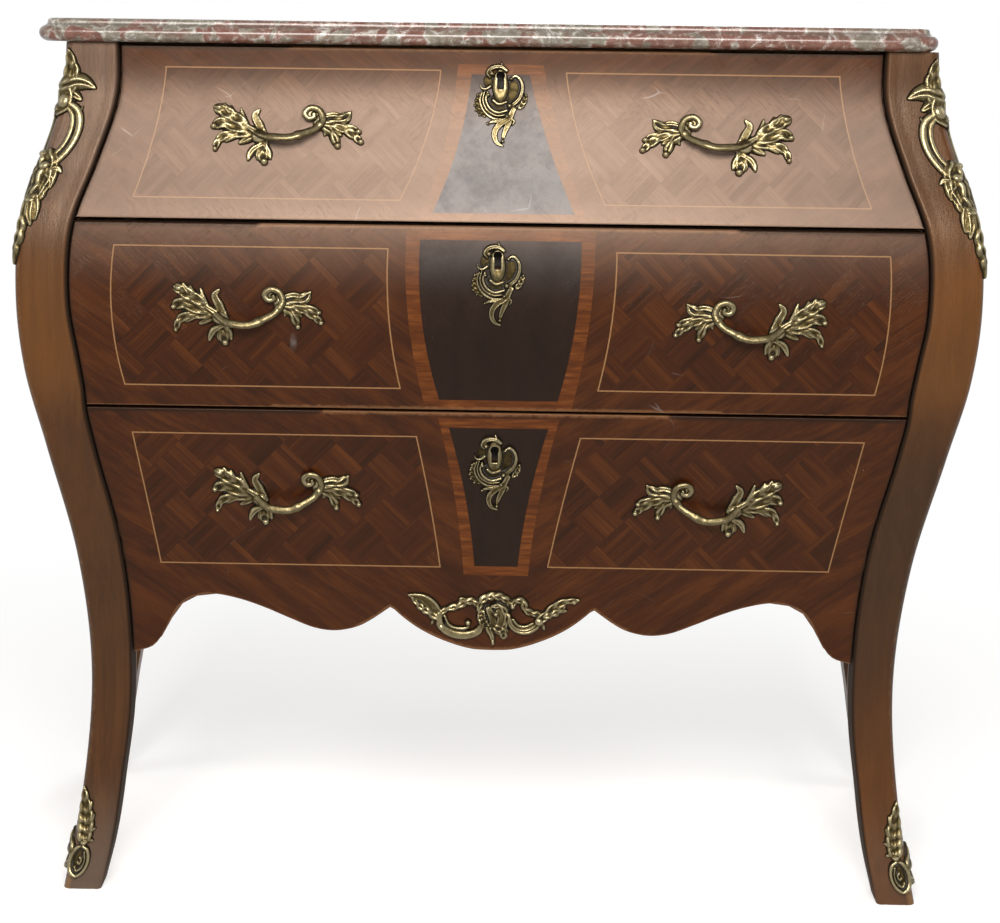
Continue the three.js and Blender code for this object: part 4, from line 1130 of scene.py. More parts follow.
@dataclass
class SidePanel:
    """A side of the case: it swells as the front does, flares to the back and has a scalloped edge."""

    plan: CasePlan
    finish: Finish
    rows: int = 90
    columns: int = 61
    edge_rub: float = 0.8

    def build(self, hand: Hand) -> None:
        """Builds one side.

        Args:
            hand: which side.
        """
        plan = self.plan
        front = plan.front_line + plan.post_back + plan.seat_gap
        back = plan.front_line + plan.depth - plan.back_post_depth - plan.seat_gap
        rings = []
        for y in np.linspace(front, back, self.columns):
            low = float(plan.apron_z(np.array((y - (front + back) / 2) / ((back - front) / 2))))
            z = np.linspace(low, plan.height, self.rows)
            outer = plan.side_x(np.full(self.rows, y), z)
            outside = np.column_stack([hand.value * outer, np.full(self.rows, y), z])
            inside = np.column_stack([hand.value * (outer - plan.panel_thickness), np.full(self.rows, y), z])
            rings.append(np.vstack([outside, inside[::-1]]))
        draft = Draft()
        tones = np.zeros((self.columns, 2 * self.rows))
        tones[:, 0] = self.edge_rub
        draft.add_loft(np.array(rings), tones)
        side = hand.name.lower()
        draft.piece(f"{side}_side_veneer", self.finish, "carcase", Slot.WALNUT, f"{side}_side_panel")


@dataclass
class MarbleTop:
    """The moulded slab."""

    plan: CasePlan
    finish: Finish
    side_overhang: float = 0.01255
    front_overhang: float = 0.015
    back_overhang: float = 0.004
    shift: float = -0.01345
    corner: float = 0.024
    profile: Rows = ((0, 0.36), (0.05, 0.22), (0.14, 0.09), (0.26, 0.02), (0.38, 0), (0.52, 0.035), (0.64, 0.15),
                     (0.71, 0.29), (0.77, 0.36), (0.88, 0.385), (0.95, 0.43), (1, 0.54))
    profile_steps: int = 40
    corner_steps: int = 15
    end_steps: int = 30
    front_steps: int = 40
    groove: float = 0.73
    groove_width: float = 0.035

    def ring(self, z: float, inset: float) -> np.ndarray:
        """The slab's plan outline at a height, drawn in by an inset.

        Args:
            z: the height.
            inset: how far it is drawn in.

        Returns:
            A ring of points.
        """
        plan = self.plan
        front = plan.front_line - self.front_overhang + inset
        back = plan.front_line + plan.depth + self.back_overhang - inset
        half = plan.ridge_half_width + self.side_overhang - inset
        radius = self.corner - inset
        turn = np.linspace(0, math.pi / 2, self.corner_steps)
        corner = np.column_stack([half - radius + radius * np.sin(turn), front + radius - radius * np.cos(turn)])
        y = np.linspace(front + radius, back, self.end_steps)[1:]
        edge = np.column_stack([half + plan.side_flare * smooth_step((y - plan.front_line) / plan.depth), y])
        right = np.vstack([corner, edge])
        across = np.linspace([-right[0][0], front], [right[0][0], front], self.front_steps)[1:-1]
        left = right[::-1] * (-1, 1)
        outline = np.vstack([right, left, across])
        return np.column_stack([outline[:, 0] + self.shift, outline[:, 1], np.full(len(outline), z)])

    def build(self) -> None:
        """Builds the slab."""
        low, high = (corner.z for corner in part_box("marble_top"))
        shares = np.linspace(0, 1, self.profile_steps)
        insets = np.clip(curve_through(self.profile, shares), 0, 1) * (high - low)
        heights = low + shares * (high - low)
        rings = np.array([self.ring(z, inset) for z, inset in zip(heights, insets)])
        # Marks the groove above the nose, where the finish lays the marble darker.
        groove_darkening = np.exp(-(((shares - self.groove) / self.groove_width) ** 2))
        tones = np.repeat(groove_darkening[:, None], rings.shape[1], axis=1)
        draft = Draft()
        draft.add_loft(rings, tones)
        draft.piece("marble_slab", self.finish, "carcase", Slot.MARBLE, "marble_top", sharp=30)


@dataclass
class DrawerFace:
    """The veneered face of one drawer, with rolled edges and its keyhole, on the drawer's core."""

    plan: CasePlan
    name: str
    finish: Finish
    keyhole: float
    scalloped: bool = False
    proud: float = 0.0004
    edge_radius: float = 0.0016
    rim_depth: float = 0.004
    columns: int = 170
    rows: int = 72
    key_bow: float = 0.0042
    key_slot: float = 0.0031
    key_length: float = 0.0125
    key_steps: int = 24
    roll_shares: tuple[float, ...] = (0, 0.08, 0.25, 0.5, 0.8, 1.2)
    top_shade: float = 2.7
    edge_shade: float = 1.3
    patch: Span = (0.009, 0.013)
    patch_lift: float = 0.002
    rim_tone: float = 0.3

    def key_outline(self) -> np.ndarray:
        """The keyhole's outline in x and z."""
        meet = math.asin(self.key_slot / self.key_bow)
        turn = np.linspace(meet - math.pi / 2, 3 * math.pi / 2 - meet, self.key_steps)
        top = self.keyhole + self.key_length / 2
        bow = np.column_stack([self.key_bow * np.cos(turn), top + self.key_bow * np.sin(turn)])
        low = top - self.key_length
        return np.vstack([bow, [[-self.key_slot, low], [self.key_slot, low]]])

    def spaced(self, count: int, length: float) -> np.ndarray:
        """Shares from 0 to 1 that crowd near both ends, where the edge rolls over.

        Args:
            count: how many shares.
            length: what they divide.

        Returns:
            The shares.
        """
        roll = self.edge_radius * np.array(self.roll_shares) / length
        middle = np.linspace(roll[-1], 1 - roll[-1], count - 2 * (len(roll) - 1))
        return np.concatenate([roll[:-1], middle, 1 - roll[:-1][::-1]])

    def build(self) -> None:
        """Builds the face and lays it on the drawer's core."""
        plan = self.plan
        low, high = (corner.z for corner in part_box(f"{self.name}_drawer_front"))
        low, high = low - self.proud, high + self.proud
        up = self.spaced(self.rows, high - low)
        over = self.spaced(self.columns, 2 * plan.ridge_half_width) * 2 - 1
        across, rise = np.meshgrid(over, up)
        bottom = np.where(self.scalloped, plan.apron_z(across) - self.proud, low)
        z = bottom + (high - bottom) * rise
        half = plan.drawer_edge_x(z) + self.proud
        x = across * half
        from_edge = np.minimum(half - np.abs(x), np.minimum(z - bottom, high - z))
        sunk = self.edge_radius - np.clip(from_edge, 0, self.edge_radius)
        roll = self.edge_radius - np.sqrt(self.edge_radius**2 - sunk**2)
        y = plan.drawer_y(z) - plan.veneer_lift + roll
        # The tone is wear near the bottom edge and painted shade near the top and side edges, along the gaps;
        # top_shade and edge_shade set how far in the shade reaches.
        reach = np.where(high - z < half - np.abs(x), self.top_shade, self.edge_shade) * self.edge_radius
        wear_and_shade = np.exp(-((from_edge / reach) ** 2)) * np.where(z - bottom < half - np.abs(x), 1, -1)
        draft = Draft()
        grid = draft.add_points(np.stack([x, y, z], axis=-1), wear_and_shade)
        keep = np.ones((self.rows - 1, self.columns - 1), bool)
        middle_x = (x[:-1, :-1] + x[1:, 1:]) / 2
        middle_z = (z[:-1, :-1] + z[1:, 1:]) / 2
        patch_z = np.abs(middle_z - self.keyhole - self.patch_lift)
        hole = (np.abs(middle_x) < self.patch[0]) & (patch_z < self.patch[1])
        keep[hole] = False
        draft.faces.extend(map(tuple, cell_corners(grid)[keep].tolist()))
        self.add_keyhole(draft, grid, hole)
        rim = np.concatenate([grid[0, :-1], grid[:-1, -1], grid[-1, :0:-1], grid[:0:-1, 0]])
        points = np.vstack(draft.points)[rim]
        behind = draft.add_points(points + [0, self.rim_depth, 0], self.rim_tone)
        draft.add_quads(np.stack([rim, behind]), flip=True, around=True)
        draft.piece(f"{self.name}_drawer_veneer", self.finish, f"{self.name}_drawer", Slot.MARQUETRY,
                    sharp=60, face_out=False)

    def add_keyhole(self, draft: Draft, grid: np.ndarray, hole: np.ndarray) -> None:
        """Fills the patch round the keyhole and gives the hole its wall.

        Args:
            draft: the face so far.
            grid: its point numbers.
            hole: the cells of the patch.
        """
        rows, columns = np.where(hole)
        r0, r1, c0, c1 = rows.min(), rows.max() + 1, columns.min(), columns.max() + 1
        ring = np.concatenate([grid[r0, c0:c1], grid[r0:r1, c1], grid[r1, c1:c0:-1], grid[r1:r0:-1, c0]])
        points = np.vstack(draft.points)
        key = self.key_outline()
        flat = [Vector((points[n][0], points[n][2])) for n in ring] + [Vector(p) for p in key]
        n, k = len(ring), len(key)
        edges = [(i, (i + 1) % n) for i in range(n)] + [(n + i, n + (i + 1) % k) for i in range(k)]
        _, _, triangles, _, _, _ = delaunay_2d_cdt(flat, edges, [], 0, 1e-9)
        face_y = self.plan.drawer_y(key[:, 1]) - self.plan.veneer_lift
        lip = draft.add_points(np.column_stack([key[:, 0], face_y, key[:, 1]]))
        numbers = np.concatenate([ring, lip])
        lowest, highest = key[:, 1].min(), key[:, 1].max()
        for triangle in triangles:
            centre = sum((flat[i] for i in triangle), Vector((0, 0))) / 3
            in_bow = (centre - Vector((0, self.keyhole + self.key_length / 2))).length < self.key_bow * 0.98
            in_slot = abs(centre.x) < self.key_slot and lowest < centre.y < highest
            if not (in_bow or in_slot):
                draft.faces.append(tuple(int(numbers[i]) for i in triangle))
        wall = draft.add_points(np.column_stack([key[:, 0], face_y + self.rim_depth, key[:, 1]]), 0.0)
        draft.add_quads(np.stack([lip, wall]), around=True)


# Cast mounts


@dataclass(frozen=True)
class Leaf:
    """One cast stroke or leaf: its path and half widths as shares of the mount's size."""

    path: Rows
    root: float
    belly: float
    tip: float
    crest: float = 1.0
    veins: int = 3
    lobes: int = 0


@dataclass(frozen=True)
class Bead:
    """A round or oval boss: its middle, half sizes and height, as shares."""

    along: float
    up: float
    wide: float
    tall: float
    crest: float = 1.0
    dished: float = 0.0


def leaves(*rows: tuple) -> tuple[Leaf, ...]:
    """Makes leaves from rows.

    Args:
        rows: a path of x, y pairs, a root, a belly and a tip in thousandths, then a crest, veins and lobes.

    Returns:
        The leaves, in shares.
    """
    made = []
    for path, root, belly, tip, *others in rows:
        points = tuple((x / THOUSAND, y / THOUSAND) for x, y in zip(path[::2], path[1::2]))
        made.append(Leaf(points, root / THOUSAND, belly / THOUSAND, tip / THOUSAND, *others))
    return tuple(made)


def beads(*rows: tuple) -> tuple[Bead, ...]:
    """Makes bosses from rows: a middle and half sizes in thousandths, then a crest and how far it is dished."""
    return tuple(Bead(*(value / THOUSAND for value in row[:4]), *row[4:]) for row in rows)


@dataclass(frozen=True)
class Chasing:
    """How the mounts are chased and toned: shares of a stroke's width, length or height, and counts."""

    samples: int = 16
    outline_samples: int = 24
    narrowest: float = 0.004
    neck: float = 0.86
    lobe: float = 0.26
    roundness: float = 2.4
    tip_fall: float = 0.30
    body: float = 0.84
    midrib: float = 0.34
    midrib_width: float = 0.16
    flute: float = 0.16
    notch: float = 0.12
    notch_slant: float = 0.6
    dish_width: float = 0.55
    margin: float = 0.11
    least_slope: float = 0.05
    most_shift: float = 1.5
    spread: int = 2
    spread_rounds: int = 5
    foot: float = 0.0001
    base_tone: float = 0.20
    relief_tone: float = 2.6
    height_tone: float = 0.50
    rim_tone: float = 0.12
    foot_tone: float = 0.05


@dataclass
class Casting:
    """A mount worked out as heights over a flat grid, then laid on what carries it."""

    size: float
    leaves: Sequence[Leaf]
    beads: Sequence[Bead] = ()
    rise: float = 0.0052
    cell: float = 0.0006
    rim: float = 0.0007
    hole: tuple[float, float, float] | None = None
    hole_up: float = 0.0
    chasing: Chasing = Chasing()

    def leaf_height(self, leaf: Leaf, s: np.ndarray, t: np.ndarray) -> tuple[np.ndarray, np.ndarray]:
        """Works out one leaf.

        Args:
            leaf: the leaf.
            s: the grid along.
            t: the grid up.

        Returns:
            How far each grid point lies inside the leaf, and how high it stands.
        """
        cut = self.chasing
        line = path_points(leaf.path, cut.samples * len(leaf.path)) * self.size
        way = np.gradient(line, axis=0)
        way /= np.linalg.norm(way, axis=1)[:, None]
        apart_s = s[..., None] - line[:, 0]
        apart_t = t[..., None] - line[:, 1]
        distance = np.hypot(apart_s, apart_t)
        share = np.linspace(0, 1, len(line))
        rest = 1 - share
        width = self.size * (leaf.root * rest**2 + 2 * leaf.belly * share * rest + leaf.tip * share**2)
        if leaf.lobes:
            width = width * (cut.neck + cut.lobe * np.abs(np.sin(math.pi * leaf.lobes * share)))
        nearest = np.argmin(distance / np.maximum(width, self.size * cut.narrowest), axis=-1)
        pick = (*np.indices(nearest.shape), nearest)
        inset = width[nearest] - distance[pick]
        side = (apart_s[pick] * -way[nearest, 1] + apart_t[pick] * way[nearest, 0]) / width[nearest]
        out = np.clip(distance[pick] / width[nearest], 0, 1)
        dome = np.sqrt(np.clip(1 - out**cut.roundness, 0, 1))
        fall = leaf.crest * (1 - cut.tip_fall * share[nearest] ** 2)
        midrib = cut.midrib * np.exp(-((side / cut.midrib_width) ** 2))
        flutes = cut.flute * np.cos(side * math.pi * leaf.veins) * (leaf.veins > 0)
        wave = 2 * math.pi * (leaf.lobes * share[nearest] - cut.notch_slant * np.abs(side))
        notch = cut.notch * np.cos(wave) * (leaf.lobes > 0)
        height = self.rise * fall * dome * (cut.body - midrib * (leaf.veins > 0) + flutes + notch)
        return inset, np.where(inset > 0, height, 0)

    def bead_height(self, bead: Bead, s: np.ndarray, t: np.ndarray) -> tuple[np.ndarray, np.ndarray]:
        """Works out one boss, as leaf_height does for a leaf.

        Args:
            bead: the boss.
            s: the grid along.
            t: the grid up.

        Returns:
            How far each grid point lies inside the boss, and how high it stands.
        """
        out = np.hypot((s / self.size - bead.along) / bead.wide, (t / self.size - bead.up) / bead.tall)
        inset = (1 - out) * min(bead.wide, bead.tall) * self.size
        dish = bead.dished * np.exp(-((out / self.chasing.dish_width) ** 2))
        dome = np.sqrt(np.clip(1 - out**2, 0, 1)) * (1 - dish)
        return inset, self.rise * bead.crest * dome

    def build(self, draft: Draft, place: Placer, flip: bool) -> None:
        """Adds the mount to a draft.

        Args:
            draft: where its points and faces go.
            place: lays along, up and out on the carrier.
            flip: turns the faces over, for a mirrored carrier.
        """
        cut = self.chasing
        reach = np.vstack([path_points(leaf.path, cut.outline_samples) for leaf in self.leaves]
                          + [np.array([[b.along, b.up]]) for b in self.beads])[:, :2] * self.size
        pad = cut.margin * self.size
        low, high = reach.min(0) - pad, reach.max(0) + pad
        s, t = np.meshgrid(np.arange(low[0], high[0], self.cell), np.arange(low[1], high[1], self.cell))
        inset, height = np.full(s.shape, -1.0), np.zeros(s.shape)
        for part in (*self.leaves, *self.beads):
            work = self.leaf_height if isinstance(part, Leaf) else self.bead_height
            here, stands = work(part, s, t)
            inset = np.maximum(inset, here)
            height = np.maximum(height, stands)
        if self.hole is not None:
            inset = np.minimum(inset, self.hole_distance(s, t))
        drop_t, drop_s = np.gradient(inset, self.cell)
        steep = np.maximum(drop_s**2 + drop_t**2, cut.least_slope)
        back = np.clip(-inset, 0, cut.most_shift * self.cell)
        outside = inset < 0
        s = np.where(outside, s + drop_s / steep * back, s)
        t = np.where(outside, t + drop_t / steep * back, t)
        solid = ~outside
        kept = cell_corners(solid).any(axis=-1)
        height = np.where(outside, 0, height) + self.rim
        blur = self.spread_out(height, 1)
        wide = blur
        for _ in range(cut.spread_rounds):
            wide = self.spread_out(wide, cut.spread)
        raised = (blur - wide) / self.rise * cut.relief_tone
        tone = np.clip(cut.base_tone + raised + cut.height_tone * blur / (self.rise + self.rim), 0, 1)
        tone = np.where(outside, cut.rim_tone, tone)
        used = np.zeros(s.shape, bool)
        for dr in (0, 1):
            for dc in (0, 1):
                used[dr : s.shape[0] - 1 + dr, dc : s.shape[1] - 1 + dc] |= kept
        top = np.full(s.shape, -1)
        top[used] = draft.add_points(place(s[used], t[used], np.where(outside, self.rim, blur)[used]), tone[used])
        cells = cell_corners(top)[kept]
        if flip:
            cells = cells[:, ::-1]
        draft.faces.extend(map(tuple, cells.tolist()))
        base = np.full(s.shape, -1)
        base[used] = draft.add_points(place(s[used], t[used], np.full(used.sum(), cut.foot)), cut.foot_tone)
        self.add_skirt(draft, cells, dict(zip(top[used].tolist(), base[used].tolist())))

    @staticmethod
    def spread_out(values: np.ndarray, apart: int) -> np.ndarray:
        """Averages each value with the four that lie so many cells apart.

        Args:
            values: a grid of values.
            apart: how many cells.

        Returns:
            The averages.
        """
        around = ((apart, 0), (-apart, 0), (apart, 1), (-apart, 1))
        total = values
        for shift, axis in around:
            total = total + np.roll(values, shift, axis)
        return total / (len(around) + 1)

    def hole_distance(self, s: np.ndarray, t: np.ndarray) -> np.ndarray:
        """How far each grid point lies outside the keyhole.

        Args:
            s: the grid along.
            t: the grid up.

        Returns:
            The distances.
        """
        bow, slot, length = self.hole
        t = t - self.hole_up
        round_part = np.hypot(s, t - length / 2) - bow
        straight = np.maximum(np.abs(s) - slot, np.abs(t) - length / 2)
        return np.minimum(round_part, straight)

    def add_skirt(self, draft: Draft, cells: np.ndarray, below: dict[int, int]) -> None:
        """Closes the casting's edge down to the face that carries it.

        Args:
            draft: where the faces go.
            cells: the faces of the top.
            below: the base point under each top point.
        """
        edges = np.concatenate([cells[:, [k, (k + 1) % 4]] for k in range(4)])
        here = set(map(tuple, edges.tolist()))
        draft.faces.extend((b, a, below[a], below[b]) for a, b in here if (b, a) not in here)


@dataclass
class Bail:
    """The grip of a handle: it rises from the leaves and ends in a scroll."""

    size: float = 0.145
    stand: float = 0.0175
    radius: float = 0.0037
    path: Rows = (
        (-0.20, 0.0, 0.30), (-0.15, -0.030, 0.66), (-0.088, -0.048, 0.92), (0.015, -0.052, 1),
        (0.118, -0.014, 0.8), (0.203, 0.040, 0.48), (0.234, 0.105, 0.34), (0.206, 0.160, 0.31),
        (0.150, 0.172, 0.31), (0.116, 0.138, 0.32), (0.138, 0.104, 0.34), (0.172, 0.108, 0.36), (0.176, 0.134, 0.40),
    )
    steps: int = 120
    sides: int = 16
    knops: Rows = ((0.30, 0.018, 0.26), (0.44, 0.014, 0.22))
    ribs: int = 3
    rib_rise: float = 0.16
    rib_place: float = 0.18
    rib_run: float = 3.0
    flatness: float = 0.92
    thinning: Rows = ((0.30, 2.0, 0.9), (0.10, 4.0, 3.0))
    tone: float = 0.46
    side_tone: float = 0.22
    end_tone: float = 0.60
    end_start: float = 0.55
    end_run: float = 0.4

    def build(self, draft: Draft, place: Placer, flip: bool) -> None:
        """Adds the grip to a draft, as Casting.build does.

        Args:
            draft: where its points and faces go.
            place: lays along, up and out on the carrier.
            flip: turns the faces over.
        """
        line = path_points(self.path, self.steps) * (self.size, self.size, self.stand)
        way = np.gradient(line, axis=0)
        way /= np.linalg.norm(way, axis=1)[:, None]
        aside = np.column_stack([-way[:, 1], way[:, 0], np.zeros(self.steps)])
        aside /= np.linalg.norm(aside, axis=1)[:, None]
        above = np.cross(way, aside)
        share = np.linspace(0, 1, self.steps)
        thick = 1.0
        for loss, pace, start in self.thinning:
            thick = thick - loss * np.clip(pace * share - start, 0, 1)
        thick = self.radius * thick
        swell = 1.0
        for at, width, rise in self.knops:
            swell = swell + rise * np.exp(-(((share - at) / width) ** 2))
        thick *= swell
        turn = np.linspace(0, 2 * math.pi, self.sides, endpoint=False)
        ribbed = np.clip(1 - self.rib_run * np.abs(share - self.rib_place), 0, 1)
        ridge = 1 + self.rib_rise * np.cos(self.ribs * turn)[None, :] * ribbed[:, None]
        ring = thick[:, None] * ridge
        points = (line[:, None, :] + aside[:, None, :] * (ring * np.cos(turn))[..., None]
                  + above[:, None, :] * (ring * np.sin(turn) * self.flatness)[..., None])
        placed = place(points[..., 0].ravel(), points[..., 1].ravel(), points[..., 2].ravel()).reshape(points.shape)
        near_end = np.clip(share - self.end_start, 0, self.end_run)[:, None]
        tone = self.tone + self.side_tone * np.sin(turn)[None, :] + self.end_tone * near_end
        numbers = draft.add_points(placed, np.broadcast_to(tone, ring.shape))
        draft.add_quads(numbers, flip=flip, around=True)
        ends = (tuple(numbers[0][::-1].tolist()), tuple(numbers[-1].tolist()))
        draft.faces.extend(end[::-1] if flip else end for end in ends)


def on_drawer(plan: CasePlan, x: float, z: float, sign: int) -> Placer:
    """Lays a mount on a drawer front, true to its curve.

    Args:
        plan: the case.
        x: the mount's middle, across.
        z: the mount's middle, up.
        sign: -1 mirrors it.

    Returns:
        The function that places along, up and out.
    """
    step = 0.0003
    tilt = math.atan(float(plan.swell(z + step) - plan.swell(z - step)) / (2 * step))

    def place(along: np.ndarray, up: np.ndarray, out: np.ndarray) -> np.ndarray:
        """Places points of the mount.

        Args:
            along: along the carrier.
            up: up it.
            out: off its face.

        Returns:
            The points in space.
        """
        height = z + up * math.cos(tilt)
        y = plan.drawer_y(height) - plan.veneer_lift - out * math.cos(tilt)
        return np.stack([x + sign * along, y, height - out * math.sin(tilt)], axis=-1)

    return place


def round_ridge(plan: CasePlan, hand: Hand, foot: float, lap: float) -> Placer:
    """Lays a mount round the ridge of a front post: along runs in over the face, or back over the side.

    Args:
        plan: the case.
        hand: which post.
        foot: how high the mount starts.
        lap: how far the mount is moved back over the side.

    Returns:
        The function that places along, up and out.
    """

    def place(along: np.ndarray, up: np.ndarray, out: np.ndarray) -> np.ndarray:
        """Places points of the mount.

        Args:
            along: along the carrier.
            up: up it.
            out: off its face.

        Returns:
            The points in space.
        """
        z = foot + up
        along = along - lap
        half_arc = plan.ridge_radius * math.pi / 4
        turn = math.pi / 4 * (1 + np.clip(along / half_arc, -1, 1))
        inward = np.maximum(0, along - half_arc)
        backward = np.maximum(0, -along - half_arc)
        radius = plan.ridge_radius + out
        y = plan.post_y(z) + plan.ridge_radius - radius * np.sin(turn) + backward
        flare = plan.side_x(np.maximum(y, plan.post_y(z)), z) - plan.ridge_x(z)
        x = plan.ridge_x(z) - plan.ridge_radius + radius * np.cos(turn) - inward + flare
        return np.stack([hand.value * x, y, z], axis=-1)

    return place


